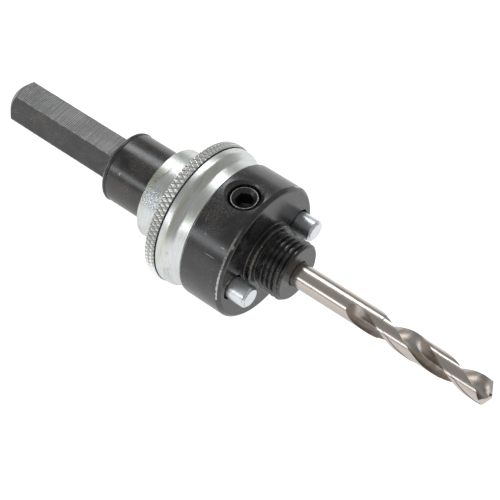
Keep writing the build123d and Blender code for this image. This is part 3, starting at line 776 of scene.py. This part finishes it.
class ARBOR_OT_body(Operator):
    """Builds the shank, spindle, drum, boss and threaded spigot as one surface"""
    bl_idname = "arbor.body"
    bl_label = "Arbor Body"

    def shank_rings(self, look, turns):
        """Rings from the shank's end to the spindle's rear face."""
        end = -mm(look.hex_end)
        rear = -mm(look.spindle_rear)
        apothem = mm(look.hex_flats) / 2
        chamfer = mm(look.hex_chamfer)
        runout = mm(look.hex_runout)
        hexagonal = hexagon(apothem, turns)
        face = turns * 0 + apothem - chamfer
        full = chamfer + apothem / cos(pi / 6) - apothem
        rings = [(end, face * 0), (end, face * 0.5), (end, face - 0.12), (end + 0.08, face + 0.06)]
        for step in range(1, 41):
            back = 0.08 + (full - 0.08) * step / 40
            rings.append((end + back, np.minimum(hexagonal, face + back)))
        for step in range(1, 30):
            rings.append((end + full + (rear - runout - end - full) * step / 30, hexagonal))
        for step in range(9):
            swing = pi / 2 * step / 8
            rise = runout * (1 - cos(swing))
            rings.append((rear - runout + runout * sin(swing), hexagon(apothem + rise, turns)))
        return rings

    def turned_outline(self, look):
        """Corners from the spindle's rear edge to the boss's front."""
        spindle = mm(look.spindle) / 2
        rear = -mm(look.spindle_rear)
        chamfer = mm(look.spindle_chamfer)
        drum = mm(look.drum) / 2
        drum_back = -mm(look.drum_width)
        boss = mm(look.boss) / 2
        root = mm(look.thread / 2 - look.relief_depth)
        return [
            (rear, spindle - chamfer, 0),
            (rear + chamfer, spindle, 0.12),
            (-mm(look.ring_rear), spindle, 0.04),
            (-mm(look.ring_rear), mm(look.ring_floor), 0),
            (-mm(look.ring_front), mm(look.ring_floor), 0),
            (-mm(look.ring_front), spindle, 0.04),
            (drum_back, spindle, 0),
            (drum_back, drum - mm(look.drum_rear), 0.1),
            (drum_back + mm(look.drum_rear), drum, 0.15),
            (-mm(look.drum_front), drum, 0.7),
            (0, drum - mm(look.drum_front), 0.7),
            (0, boss, 0.2),
            (mm(look.boss_height), boss, 0.45),
            (mm(look.boss_height), root, 0.15),
            (mm(look.boss_height + look.thread_relief) - 0.25, root, 0),
        ]

    def thread_rings(self, look, turns):
        """Rings along the threaded spigot."""
        crest = mm(look.thread) / 2
        root = crest - mm(look.relief_depth)
        pitch = mm(look.thread_pitch)
        start = mm(look.boss_height + look.thread_relief) - 0.2
        end = mm(look.thread_front)
        rings = []
        for x in np.arange(start, end - 0.05, pitch / 16):
            cut = thread_height(x, turns, pitch, mm(look.thread_depth))
            lead_in = crest - max(0.0, x - (end - mm(look.lead_in)))
            lead_out = root + (x - start) / tan(RELIEF_FLANK)
            radii = np.minimum(np.minimum(crest - cut, lead_in), max(root, lead_out))
            rings.append((x, np.maximum(radii, root)))
        return rings

    def bore_outline(self, look):
        """Corners from the spigot's front edge into the bore."""
        bore = mm(look.bore) / 2
        chamfer = mm(look.bore_chamfer)
        mouth = mm(look.thread) / 2 - 0.84
        end = mm(look.thread_front)
        floor = -mm(look.bore_depth)
        return [
            (end - 0.04, mouth + 0.06, 0),
            (end, mouth, 0.05),
            (end, bore + chamfer, 0.05),
            (end - chamfer, bore, 0.05),
            (floor, bore, 0),
            (floor - bore * tan(BORE_FLOOR_SLOPE), 0, 0),
        ]

    def cutter(self, name, corners):
        """A closed mesh turned about X, from the corners of half its section."""
        return finish_mesh(grid_mesh(name, rings_of(rounded(corners), around(72))))

    def cutters(self, look):
        """What is drilled out of the drum."""
        made = []
        back = -mm(look.drum_width)
        hole = mm(look.pin_hole) / 2
        for side in (1, -1):
            mesh = self.cutter("pin_hole", [
                (back - 1, 0, 0),
                (back - 1, hole + 0.8, 0),
                (back + 0.2, hole, 0),
                (-0.2, hole, 0.2),
                (0.05, hole + 0.22, 0),
                (0.6, hole + 0.3, 0),
                (0.6, 0, 0),
            ])
            mesh.transform(Matrix.Translation((0, side * mm(look.pin_circle) / 2, 0)))
            made.append(new_object("pin_hole", mesh))
        drum = mm(look.drum) / 2
        hole = mm(look.screw_hole) / 2
        sink = mm(look.screw_sink)
        mesh = self.cutter("screw_hole", [
            (0, 0, 0),
            (0, hole, 0),
            (drum - sink, hole, 0.3),
            (drum + 0.1, hole + sink + 0.1, 0),
            (drum + 1, hole + sink + 0.6, 0),
            (drum + 1, 0, 0),
        ])
        made.append(new_object("screw_hole", stand(mesh, -mm(look.screw_at))))
        return made

    def execute(self, context):
        look = context.scene.arbor_body
        turns = around()
        shank = self.shank_rings(look, turns)
        outline = rounded(self.turned_outline(look))
        plain = self.thread_rings(look, turns) + rounded(self.bore_outline(look))
        wear = [0.0] * len(shank) + [worn for *_, worn in outline] + [0.0] * len(plain)
        rings = rings_of(shank + outline + plain, turns)
        mesh = finish_mesh(grid_mesh("arbor_body_finish", rings, wear))
        body = new_object("arbor_body_finish", mesh)
        carve(body, self.cutters(look))
        finish_mesh(body.data)
        settle(body, "arbor", black_oxide(look), "arbor_body")
        return {"FINISHED"}


class ARBOR_OT_sleeve(Operator):
    """Turns the sleeve's lip, neck, shoulder, bead and hub"""
    bl_idname = "arbor.sleeve"
    bl_label = "Sliding Sleeve"

    def outline(self, look):
        """Corners of the sleeve's section, from the bore's front end round to its rear end."""
        bore = mm(look.bore) / 2
        front = -mm(look.front)
        rear = -mm(look.rear)
        neck = mm(look.neck) / 2
        bead = mm(look.bead) / 2
        inside = mm(look.knurl) / 2 - BAND_SEAT
        hub = mm(look.hub) / 2
        lip_rear = front - mm(look.lip_width)
        neck_rear = lip_rear - mm(look.neck_width)
        bead_front = neck_rear - mm(look.shoulder)
        bead_rear = bead_front - mm(look.bead_width)
        band_front, band_rear = band_ends(look)
        floor = bead - mm(look.relief_depth)
        shoulder = []
        for step in range(1, 12):
            part = step / 12
            rise = part - sin(2 * pi * part) / (2 * pi)
            shoulder.append((neck_rear - mm(look.shoulder) * part, neck + (bead - neck) * rise, 0))
        return [
            (front - 0.3, bore, 0.1),
            (front, bore + 0.3, 0.1),
            (front, neck + mm(look.lip_height), 0.12),
            (lip_rear, neck + mm(look.lip_height), 0.12),
            (lip_rear, neck, 0.15),
            (neck_rear, neck, 0),
            *shoulder,
            (bead_front, bead, 0),
            (bead_rear, bead, 0.12),
            (bead_rear, floor, 0),
            (band_front, floor, 0),
            (band_front, inside, 0),
            (band_rear, inside, 0),
            (band_rear, hub, 0.25),
            (rear + 0.3, hub, 0.15),
            (rear, hub - 0.3, 0.15),
            (rear, bore + 0.3, 0.1),
            (rear + 0.3, bore, 0.1),
        ]

    def execute(self, context):
        look = context.scene.arbor_sleeve
        corners = self.outline(look)
        points = rounded([corners[-1], *corners, corners[0]])[1:-1]
        mesh = grid_mesh("sleeve_turning", rings_of(points, around()), loop=True)
        sleeve = new_object("sleeve_turning", finish_mesh(mesh))
        settle(sleeve, "pin_sleeve", bright_zinc(look), "knurled_sleeve")
        return {"FINISHED"}


class Growth(NodeTree):
    """A geometry node tree with named inputs."""

    def __init__(self, name):
        super().__init__(bpy.data.node_groups.new(name, "GeometryNodeTree"))
        self.sockets = {}
        self.entry = self.tree.nodes.new("NodeGroupInput")
        self.exit = self.tree.nodes.new("NodeGroupOutput")
        self.tree.interface.new_socket(
            name="Geometry", in_out="OUTPUT", socket_type="NodeSocketGeometry")

    def ask(self, name, kind="NodeSocketFloat"):
        """A named input of the tree."""
        self.sockets[name] = self.tree.interface.new_socket(
            name=name, in_out="INPUT", socket_type=kind).identifier
        return self.entry.outputs[name]

    def checker(self, columns):
        """0 and 1 in turn along the rows and columns of a grid, for each of its elements."""
        index = self.add("GeometryNodeInputIndex").outputs[0]
        column = self.maths("FLOOR", self.maths("DIVIDE", index, columns))
        return self.maths("MODULO", self.plus(column, self.maths("MODULO", index, columns)), 2.0)


def knurl_tree():
    """A flat lattice of diamonds, cut by two sets of grooves, bent round into a band."""
    nodes = Growth("diamond_knurl")
    count = nodes.ask("Count", "NodeSocketInt")
    cell = nodes.ask("Cell")
    width = nodes.ask("Width")
    radius = nodes.ask("Radius")
    depth = nodes.ask("Depth")
    flat = nodes.ask("Flat")
    chamfer = nodes.ask("Chamfer")
    rear = nodes.ask("Rear")
    material = nodes.ask("Material", "NodeSocketMaterial")

    # A grid whose points are peaks and valleys in turn, each square folded from valley to valley.
    rows = nodes.times(count, 2.0)
    columns = nodes.plus(rows, 1.0)
    grid = nodes.add("GeometryNodeMeshGrid", {
        "Size X": nodes.times(cell, 1.5),
        "Size Y": rows,
        "Vertices X": 4,
        "Vertices Y": columns,
    }).outputs["Mesh"]
    peak = nodes.maths("SUBTRACT", 1.0, nodes.checker(columns))
    lifted = nodes.add("GeometryNodeSetPosition", {
        "Geometry": grid,
        "Offset": nodes.join(0.0, 0.0, nodes.times(peak, depth)),
    }).outputs[0]
    even = nodes.maths("SUBTRACT", 1.0, nodes.checker(rows))
    first = nodes.add("GeometryNodeTriangulate", {0: lifted, 1: even},
                      quad_method="FIXED_ALTERNATE").outputs[0]
    second = nodes.add("GeometryNodeTriangulate", {0: first}, quad_method="FIXED").outputs[0]
    fine = nodes.add("GeometryNodeSubdivideMesh", {"Mesh": second, "Level": 3}).outputs[0]

    # Cut to the band's width, with the peaks a little flattened and both ends chamfered.
    place = nodes.split(nodes.add("GeometryNodeInputPosition").outputs[0])
    from_rear = nodes.plus(place[0], nodes.times(cell, 0.625))
    outside = nodes.plus(
        nodes.maths("LESS_THAN", from_rear, -0.001),
        nodes.maths("GREATER_THAN", from_rear, nodes.plus(width, 0.001)))
    kept = nodes.add("GeometryNodeDeleteGeometry", {0: fine, 1: outside}).outputs[0]
    from_end = nodes.maths("MINIMUM", from_rear, nodes.maths("SUBTRACT", width, from_rear))
    crest = nodes.maths("SUBTRACT", depth, flat)
    height = nodes.maths("SUBTRACT", nodes.maths("MINIMUM", place[2], crest), crest)
    capped = nodes.maths("MINIMUM", height, nodes.maths("SUBTRACT", from_end, chamfer))

    turn = nodes.times(nodes.maths("DIVIDE", place[1], rows), 2 * pi)
    out = nodes.plus(radius, capped)
    bent = nodes.add("GeometryNodeSetPosition", {
        "Geometry": kept,
        "Position": nodes.join(
            nodes.plus(from_rear, rear),
            nodes.times(out, nodes.maths("COSINE", turn)),
            nodes.times(out, nodes.maths("SINE", turn))),
    }).outputs[0]
    merged = nodes.add("GeometryNodeMergeByDistance", {
        "Geometry": bent, "Distance": 0.001}).outputs[0]
    real = nodes.add("GeometryNodeRealizeInstances", {"Geometry": merged}).outputs[0]
    dressed = nodes.add("GeometryNodeSetMaterial", {
        "Geometry": real, "Material": material}).outputs[0]
    nodes.feed(nodes.exit.inputs[0], dressed)
    return nodes


def grown(name, nodes, values):
    """An object with the plain mesh that a geometry node tree makes from these values."""
    seed = new_object(name, bpy.data.meshes.new(name))
    modifier = seed.modifiers.new("grow", "NODES")
    modifier.node_group = nodes.tree
    for key, value in values.items():
        modifier[nodes.sockets[key]] = value
    evaluated_mesh(seed)
    return seed


class ARBOR_OT_knurl(Operator):
    """Rolls the diamond knurl round the sleeve's band"""
    bl_idname = "arbor.knurl"
    bl_label = "Knurled Band"
    LEAST_FACES = 1000

    def close_band(self, mesh, inner):
        """Gives the open knurled surface its two end walls and an inner wall."""
        work = bmesh.new()
        work.from_mesh(mesh)
        rims = [edge for edge in work.edges if edge.is_boundary]
        made = bmesh.ops.extrude_edge_only(work, edges=rims)
        low = [v for v in made["geom"] if isinstance(v, bmesh.types.BMVert)]
        for vert in low:
            out = sqrt(vert.co.y ** 2 + vert.co.z ** 2)
            vert.co.y *= inner / out
            vert.co.z *= inner / out
        loops = [edge for edge in work.edges if edge.is_boundary]
        bmesh.ops.bridge_loops(work, edges=loops)
        work.to_mesh(mesh)
        work.free()

    def execute(self, context):
        look = context.scene.arbor_sleeve
        zinc = bpy.data.objects["sleeve_turning"].data.materials[0]
        values = {
            "Count": look.knurl_count,
            "Cell": mm(look.knurl_cell),
            "Width": mm(look.knurl_width),
            "Radius": mm(look.knurl) / 2,
            "Depth": mm(look.knurl_depth),
            "Flat": mm(look.knurl_flat),
            "Chamfer": mm(look.knurl_chamfer),
            "Rear": band_ends(look)[1],
            "Material": zinc,
        }
        band = grown("knurled_band", knurl_tree(), values)
        self.close_band(band.data, mm(look.knurl) / 2 - BAND_INSIDE)
        finish_mesh(band.data, sharp=24)
        if len(band.data.polygons) < self.LEAST_FACES:
            raise RuntimeError("the knurl came out empty")
        settle(band, "pin_sleeve", zinc, "knurled_sleeve")
        return {"FINISHED"}


class ARBOR_OT_pins(Operator):
    """Turns the two stepped drive pins"""
    bl_idname = "arbor.pins"
    bl_label = "Drive Pins"

    def execute(self, context):
        look = context.scene.arbor_pins
        body = context.scene.arbor_body
        sleeve = context.scene.arbor_sleeve
        radius = mm(look.diameter) / 2
        tenon = mm(look.tenon) / 2
        neck = mm(look.neck) / 2
        front = -mm(sleeve.front)
        reach = mm(look.reach)
        chamfer = mm(look.chamfer)
        outline = rounded([
            (front - mm(look.tenon_length), 0, 0),
            (front - mm(look.tenon_length), tenon, 0.2),
            (front, tenon, 0),
            (front, neck, 0.15),
            (-mm(look.setback), neck, 0),
            (-mm(look.setback), radius, 0.05),
            (reach - chamfer, radius, 0.18),
            (reach, radius - chamfer, 0.18),
            (reach - 0.05, 0, 0),
        ])
        rings = rings_of(outline, around(96))
        zinc = pin_zinc(look)
        for side, name in ((1, "left"), (-1, "right")):
            mesh = finish_mesh(grid_mesh("drive_pin", rings, [worn for *_, worn in outline]))
            mesh.transform(Matrix.Translation((0, side * mm(body.pin_circle) / 2, 0)))
            pin = new_object(f"drive_pin_{name}_finish", mesh)
            settle(pin, "pin_sleeve", zinc, f"drive_pin_{name}")
        return {"FINISHED"}


class ARBOR_OT_screw(Operator):
    """Builds the socket set screw with its thread"""
    bl_idname = "arbor.screw"
    bl_label = "Set Screw"

    def execute(self, context):
        look = context.scene.arbor_screw
        body = context.scene.arbor_body
        turns = around(144)
        crest = mm(look.diameter) / 2
        top = mm(look.top)
        bottom = mm(look.bottom)
        rim = crest - mm(look.top_chamfer)
        point = mm(look.point)
        pitch = mm(look.pitch)
        socket = hexagon(mm(look.socket) / 2, turns)
        rings = [(bottom, 0.0)]
        for x in np.arange(bottom, top, pitch / 12):
            cut = thread_height(x, turns, pitch, mm(look.depth))
            lead_in = min(crest, crest - point + x - bottom, rim + top - x)
            rings.append((x, np.minimum(crest - cut, lead_in)))
        wear = [0.0] * len(rings) + [1.0, 1.0]
        rings += [(top - 0.05, rim), (top, rim - 0.05), (top - 0.02, rim - 0.24)]
        for step in range(8):
            depth = 0.06 + 0.8 * step / 7
            cone = rim - 0.25 - (depth - 0.04) * 1.2
            rings.append((top - depth, np.maximum(socket, cone)))
        floor = top - mm(look.socket_depth)
        rings += [(floor, socket), (floor - 0.8, 0.0)]
        wear += [0.0] * (len(rings) - len(wear))
        mesh = grid_mesh("set_screw_finish", rings_of(rings, turns), wear)
        finish_mesh(mesh, sharp=32)
        screw = new_object("set_screw_finish", stand(mesh, -mm(body.screw_at)))
        settle(screw, "screw", screw_oxide(look), "set_screw")
        return {"FINISHED"}


class ARBOR_OT_drill(Operator):
    """Grinds the pilot drill: shank, twisted flutes, margins and split point"""
    bl_idname = "arbor.drill"
    bl_label = "Pilot Drill"
    WALL_POINTS = 44
    LAND_POINTS = 26
    MARGIN_POINTS = 6
    STATION_STEP = 0.2
    LAST_ROWS = 14
    POINT_GRID = 0.09
    RELIEF_RAMP = 0.2
    HALVINGS = 36

    def flute_wall(self, look):
        """Points (u, v) along a flute's wall, from outside the lip round the floor to the heel.
        u runs along the cutting face and v away from it, both from the drill's axis."""
        web = mm(look.web) / 2
        floor = mm(look.floor)
        far = mm(look.diameter)
        face = np.linspace(far, 0, 160)
        swing = np.linspace(1.5 * pi, pi - look.lean, 60)
        climb = np.linspace(0, far, 160)
        touch = (-floor * cos(look.lean), web + floor + floor * sin(look.lean))
        return np.concatenate([
            np.stack([face, face * 0 + web], axis=1),
            np.stack([floor * np.cos(swing), web + floor + floor * np.sin(swing)], axis=1)[1:],
            np.stack([touch[0] + climb * sin(look.lean),
                      touch[1] + climb * cos(look.lean)], axis=1)[1:],
        ])

    def land_relief(self, look, x, from_margin):
        """How far a land's surface lies below the margin, beside a distance from the margin."""
        corner = mm(look.relief_corner)
        near = np.clip(corner - from_margin, 0, corner)
        delay = corner - np.sqrt(corner ** 2 - near ** 2)
        share = np.clip((x - mm(look.relief_start) - delay) / self.RELIEF_RAMP, 0, 1)
        return mm(look.relief) * share

    def section(self, look, wall, x):
        """Half of the drill's outline at a place x: points (u, v) and their flute mark."""
        outer = mm(look.diameter) / 2
        web = mm(look.web) / 2
        wheel = mm(look.wheel)
        run = sqrt(wheel ** 2 - (wheel - outer + web) ** 2)
        before_full = min(max(run - (x - mm(look.start)), 0), run)
        lift = min(wheel - sqrt(wheel ** 2 - before_full ** 2), outer - web - 1e-5)
        path = wall + (0, lift)
        radii = np.hypot(path[:, 0], path[:, 1])
        heel_radius = outer - float(self.land_relief(look, x, mm(look.relief_corner)))
        lowest = int(np.argmin(radii))
        first = np.interp(outer, radii[:lowest + 1][::-1], np.arange(lowest + 1)[::-1])
        last = np.interp(heel_radius, radii[lowest:], np.arange(lowest, len(radii)))
        walked = np.concatenate([[0], np.cumsum(np.hypot(*np.diff(path, axis=0).T))])
        begin, stop = np.interp((first, last), np.arange(len(path)), walked)
        spots = begin + (stop - begin) * np.linspace(0, 1, self.WALL_POINTS)
        edge = min(0.02, (stop - begin) / 100)
        spots[1] = begin + edge
        spots[-2] = stop - edge
        points = np.stack([np.interp(spots, walked, path[:, axis]) for axis in (0, 1)], axis=1)
        lip = np.arctan2(points[0, 1], points[0, 0]) + pi
        heel = np.arctan2(points[-1, 1], points[-1, 0])
        margin = lip - min(mm(look.margin) / outer, (lip - heel) * 0.4)
        land = np.linspace(heel, margin, self.LAND_POINTS + 1)[1:]
        radii = outer - self.land_relief(look, x, (margin - land) * outer)
        land_points = np.stack([radii * np.cos(land), radii * np.sin(land)], axis=1)
        rim = np.linspace(margin + 0.012, lip, self.MARGIN_POINTS + 1)[:-1]
        rim_points = outer * np.stack([np.cos(rim), np.sin(rim)], axis=1)
        marks = np.zeros(self.WALL_POINTS + self.LAND_POINTS + self.MARGIN_POINTS)
        marks[1:self.WALL_POINTS - 1] = lift < outer - web - 1e-4
        return np.concatenate([points, land_points, rim_points]), marks

    def whole(self, look, wall, x):
        """The whole outline at a place x, and its marks."""
        half, marks = self.section(look, wall, x)
        return np.concatenate([half, -half]), np.concatenate([marks, marks])

    def point_height(self, look, u, v):
        """How far the ground point reaches at (u, v), seen with the lips at the tip's turn, and
        a mark for the two gashes."""
        web = mm(look.web) / 2
        fall = 1 / tan(look.point / 2)
        behind = tan(look.point_relief)
        reach = mm(look.reach)
        half_chisel = mm(look.chisel) / 2
        across = look.chisel_turn - pi / 2
        side = np.where(u * cos(across) + v * sin(across) > 0, 1.0, -1.0)
        apex = reach + web * (fall + behind)
        height = apex - fall * np.hypot(u, side * v - web) + behind * (side * v - web)
        gash = np.zeros(np.shape(u))
        for hand in (1, -1):
            over = hand * v - half_chisel
            beside = cos(look.split_turn) * over - sin(look.split_turn) * hand * u > 0
            floor = (reach - half_chisel * (fall + behind) - tan(look.split_fall) * hand * u
                     - tan(look.split_heel_fall) * over)
            cut = beside & (floor < height)
            height = np.where(cut, floor, height)
            gash = np.where(cut, 1.0, gash)
        return height, gash

    def twist(self, look, x):
        """How far the flutes have turned at a place x."""
        return look.phase + 2 * pi * x / mm(look.lead)

    def ring(self, x, points, turn):
        """Points (u, v), turned and set at a place x."""
        y, z = turned(points, turn)
        return np.stack([y * 0 + x, y, z], axis=1)

    def column_ends(self, look, points, low, high):
        """Where each column of the twisted drill meets the ground point."""
        low = np.full(len(points), low)
        high = np.full(len(points), high)
        at_tip = self.twist(look, mm(look.reach))
        for _ in range(self.HALVINGS):
            middle = (low + high) / 2
            u, v = turned(points, self.twist(look, middle) - at_tip)
            inside = self.point_height(look, u, v)[0] > middle
            low = np.where(inside, middle, low)
            high = np.where(inside, high, middle)
        return low

    def cap(self, look, ring, first):
        """Points, gash marks and triangles of the ground point inside the last ring, whose
        points end before the number first."""
        turn = self.twist(look, mm(look.reach))
        flat = np.stack(turned(ring[:, 1:], -turn), axis=1)
        outer = mm(look.diameter) / 2
        steps = np.arange(-outer, outer, self.POINT_GRID) + self.POINT_GRID / 3
        grid = np.stack(np.meshgrid(steps, steps), axis=-1).reshape(-1, 2)
        spread = np.hypot(grid[:, None, 0] - flat[None, :, 0], grid[:, None, 1] - flat[None, :, 1])
        grid = grid[spread.min(axis=1) > self.POINT_GRID * 0.4]
        corners = [Vector(point) for point in np.concatenate([flat, grid]).tolist()]
        count = len(ring)
        verts, _, faces, origins, *_ = delaunay_2d_cdt(
            corners, [], [list(range(count))], 1, 1e-6)
        extra = []
        number = {}
        for index in sorted({corner for face in faces for corner in face}):
            on_ring = [old for old in origins[index] if old < count]
            if on_ring:
                number[index] = first - count + on_ring[0]
            else:
                number[index] = first + len(extra)
                extra.append(tuple(verts[index]))
        extra = np.array(extra)
        height, gash = self.point_height(look, extra[:, 0], extra[:, 1])
        triangles = [[number[corner] for corner in face] for face in faces]
        return self.ring(height, extra, turn), gash, triangles

    def execute(self, context):
        look = context.scene.arbor_drill
        outer = mm(look.diameter) / 2
        start = mm(look.start)
        reach = mm(look.reach)
        rear = -mm(look.grip)
        chamfer = mm(look.end_chamfer)
        wall = self.flute_wall(look)
        points, plain = self.whole(look, wall, start)
        turn = self.twist(look, start)
        ends = ((rear, 0.0), (rear, outer - chamfer), (rear + chamfer, outer), (0, outer),
                (start, outer))
        rings = [self.ring(x, points * radius / outer, turn) for x, radius in ends]
        marks = [plain * 0] * len(rings)
        stations = [start + step ** 2 * 0.004 for step in range(1, 8)]
        stations += list(np.arange(start + 0.4, reach - outer, self.STATION_STEP))
        for x in stations:
            points, fluted = self.whole(look, wall, x)
            rings.append(self.ring(x, points, self.twist(look, x)))
            marks.append(fluted)
        ends = self.column_ends(look, points, x, reach + 0.5)
        for row in range(1, self.LAST_ROWS + 1):
            places = x + (ends - x) * row / self.LAST_ROWS
            rings.append(self.ring(places, points, self.twist(look, places)))
            marks.append(fluted)
        rings = np.array(rings)
        count = rings.shape[0] * rings.shape[1]
        extra, gash, triangles = self.cap(look, rings[-1], count)
        mesh = grid_mesh("pilot_drill_finish", rings, extra=extra, triangles=triangles)
        add_mark(mesh, BARE, np.concatenate([*marks, gash * 0]))
        # The point's wear mark carries its two gashes, which the drill steel paints with shade.
        add_mark(mesh, WEAR, np.concatenate([np.zeros(count), 0.5 + gash * 0.5]))
        finish_mesh(mesh, sharp=28)
        drill = new_object("pilot_drill_finish", mesh)
        settle(drill, "drill", drill_steel(look), "pilot_drill")
        return {"FINISHED"}


class ARBOR_OT_ring(Operator):
    """Bends the open stop ring from wire with rounded corners"""
    bl_idname = "arbor.ring"
    bl_label = "Stop Ring"

    def execute(self, context):
        look = context.scene.arbor_ring
        inner = mm(look.inner) / 2
        outer = mm(look.outer) / 2
        front = -mm(look.front)
        rear = -mm(look.rear)
        corner = min(0.3, (outer - inner) / 3)
        section = rounded([
            ((front + rear) / 2, inner, 0),
            (front, inner, 0.1),
            (front, outer, corner),
            (rear, outer, corner),
            (rear, inner, 0.1),
            ((front + rear) / 2, inner, 0),
        ])[:-1]
        middle = np.mean([point[:2] for point in section], axis=0)
        half_gap = look.gap / 2
        turns = np.linspace(look.gap_at + half_gap, look.gap_at + 2 * pi - half_gap, 180)
        rings = rings_of(section, np.concatenate([turns[:1], turns, turns[-1:]]))
        rings = rings.transpose(1, 0, 2).copy()
        for end, turn in ((0, turns[0]), (-1, turns[-1])):
            rings[end] = (middle[0], middle[1] * cos(turn), middle[1] * sin(turn))
        ring = new_object("stop_ring_finish", finish_mesh(grid_mesh("stop_ring_finish", rings)))
        settle(ring, "arbor", spring_steel(look), "stop_ring")
        return {"FINISHED"}


class ARBOR_OT_hidden(Operator):
    """Gives the detent balls and their springs their finish"""
    bl_idname = "arbor.hidden"
    bl_label = "Balls and Springs"

    def execute(self, context):
        finishes = {
            "detent_spring": bpy.data.objects["stop_ring_finish"].data.materials[0],
            "detent_ball": ball_steel(),
        }
        for name, node in frame["nodes"].items():
            for start, material in finishes.items():
                if name.startswith(start):
                    node.data.materials.clear()
                    node.data.materials.append(material)
        return {"FINISHED"}


def lamp(name, place, aim, size, power):
    """A soft rectangular lamp that looks at a point."""
    data = bpy.data.lights.new(name, "AREA")
    data.shape = "RECTANGLE"
    data.size, data.size_y = size
    data.energy = power
    data.color = LAMP_COLOUR
    thing = new_object(name, data)
    thing.location = place
    thing.rotation_euler = (aim - place).to_track_quat("-Z", "Y").to_euler()


def heading(azimuth, elevation):
    """A direction from its compass angle, measured from X towards Y, and its height."""
    flat = cos(radians(elevation))
    return Vector((flat * cos(radians(azimuth)), flat * sin(radians(azimuth)),
                   sin(radians(elevation))))


class ARBOR_OT_studio(Operator):
    """Sets up the floor, the lamps, the surroundings and the camera"""
    bl_idname = "arbor.studio"
    bl_label = "Studio"

    def surroundings(self, look):
        """White behind the object, plain soft light on it, a darker ceiling for bright metal."""
        world = bpy.data.worlds.new("studio")
        bpy.context.scene.world = world
        world.use_nodes = True
        world.node_tree.nodes.clear()
        nodes = NodeTree(world.node_tree)
        path = nodes.add("ShaderNodeLightPath").outputs
        height = nodes.split(nodes.add("ShaderNodeTexCoord").outputs["Generated"])[2]
        above = nodes.mix(nodes.span(height, 0.0, SKYLINE), WHITE, look.ceiling)
        mirrored = nodes.most(path["Is Glossy Ray"], path["Is Transmission Ray"])
        lit = nodes.mix(mirrored, look.room, above)
        shown = nodes.mix(path["Is Camera Ray"], lit, WHITE)
        background = nodes.add("ShaderNodeBackground", {"Color": shown}).outputs[0]
        nodes.add("ShaderNodeOutputWorld", {"Surface": background})

    def floor(self, look):
        """A wide pale floor that shows white and keeps the object's shadow."""
        bpy.ops.mesh.primitive_circle_add(
            vertices=96, radius=FLOOR_RADIUS, fill_type="NGON", location=(0, 0, -look.floor_drop))
        floor = bpy.context.object
        floor.name = "floor"
        recipe = Recipe("floor", look.backdrop, 0.0, 0.9)
        recipe.feed(recipe.shader.inputs["Specular IOR Level"], 0.0)
        path = recipe.add("ShaderNodeLightPath").outputs
        seen = recipe.most(recipe.times(path["Is Camera Ray"], FLOOR_SHOWN),
                           path["Is Glossy Ray"], path["Is Transmission Ray"])
        glow = recipe.add("ShaderNodeEmission", {
            "Color": WHITE, "Strength": recipe.times(seen, FLOOR_GLOW)}).outputs[0]
        total = recipe.add("ShaderNodeAddShader", {0: recipe.shader.outputs[0], 1: glow})
        recipe.feed(recipe.tree.nodes["Material Output"].inputs["Surface"], total.outputs[0])
        floor.data.materials.append(recipe.material)

    def lamps(self):
        """Two long soft boxes over the object."""
        aim = SEAT - AHEAD * LAMP_AIM
        for name, azimuth, elevation, size, power in LAMPS:
            lamp(name, aim + heading(azimuth, elevation) * LAMP_DISTANCE, aim, size, power)

    def camera(self, look):
        """The photograph's viewpoint, from the arbor's own frame."""
        data = bpy.data.cameras.new("camera")
        data.lens = look.lens
        data.sensor_width = 36.0
        data.clip_start = 0.01
        data.clip_end = 20
        camera = new_object("camera", data)
        turn = TURN @ Matrix((IMAGE_RIGHT, -IMAGE_DOWN, -IMAGE_AHEAD)).transposed()
        camera.matrix_world = Matrix.Translation(PLACE @ CAMERA_PLACE) @ turn.to_4x4()
        bpy.context.scene.camera = camera

    def execute(self, context):
        look = context.scene.arbor_studio
        context.scene.view_settings.view_transform = "Standard"
        self.surroundings(look)
        self.floor(look)
        self.lamps()
        self.camera(look)
        return {"FINISHED"}


class ARBOR_PT_panel(Panel):
    """Lists the arbor's building steps in the sidebar"""
    bl_idname = "ARBOR_PT_panel"
    bl_label = "Hole Saw Arbor"
    bl_space_type = "VIEW_3D"
    bl_region_type = "UI"
    bl_category = "Arbor"

    def draw(self, context):
        for operator in OPERATORS:
            self.layout.operator(operator.bl_idname)


GROUPS = {
    "arbor_body": ArborBodyLook,
    "arbor_sleeve": SleeveLook,
    "arbor_pins": PinLook,
    "arbor_screw": SetScrewLook,
    "arbor_drill": DrillLook,
    "arbor_ring": RingLook,
    "arbor_studio": StudioLook,
}
OPERATORS = (
    ARBOR_OT_studio,
    ARBOR_OT_body,
    ARBOR_OT_sleeve,
    ARBOR_OT_knurl,
    ARBOR_OT_pins,
    ARBOR_OT_screw,
    ARBOR_OT_drill,
    ARBOR_OT_ring,
    ARBOR_OT_hidden,
)


def register():
    """Adds the property groups, the operators and the panel."""
    for name, group in GROUPS.items():
        bpy.utils.register_class(group)
        setattr(bpy.types.Scene, name, PointerProperty(type=group))
    for operator in OPERATORS:
        bpy.utils.register_class(operator)
    bpy.utils.register_class(ARBOR_PT_panel)


def unregister():
    """Takes them away again."""
    bpy.utils.unregister_class(ARBOR_PT_panel)
    for operator in reversed(OPERATORS):
        bpy.utils.unregister_class(operator)
    for name, group in reversed(GROUPS.items()):
        delattr(bpy.types.Scene, name)
        bpy.utils.unregister_class(group)


def main():
    """Builds the whole arbor."""
    register()
    bpy.ops.arbor.studio()
    bpy.ops.arbor.body()
    bpy.ops.arbor.sleeve()
    bpy.ops.arbor.knurl()
    bpy.ops.arbor.pins()
    bpy.ops.arbor.screw()
    bpy.ops.arbor.drill()
    bpy.ops.arbor.ring()
    bpy.ops.arbor.hidden()


if __name__ == "__main__":
    main()
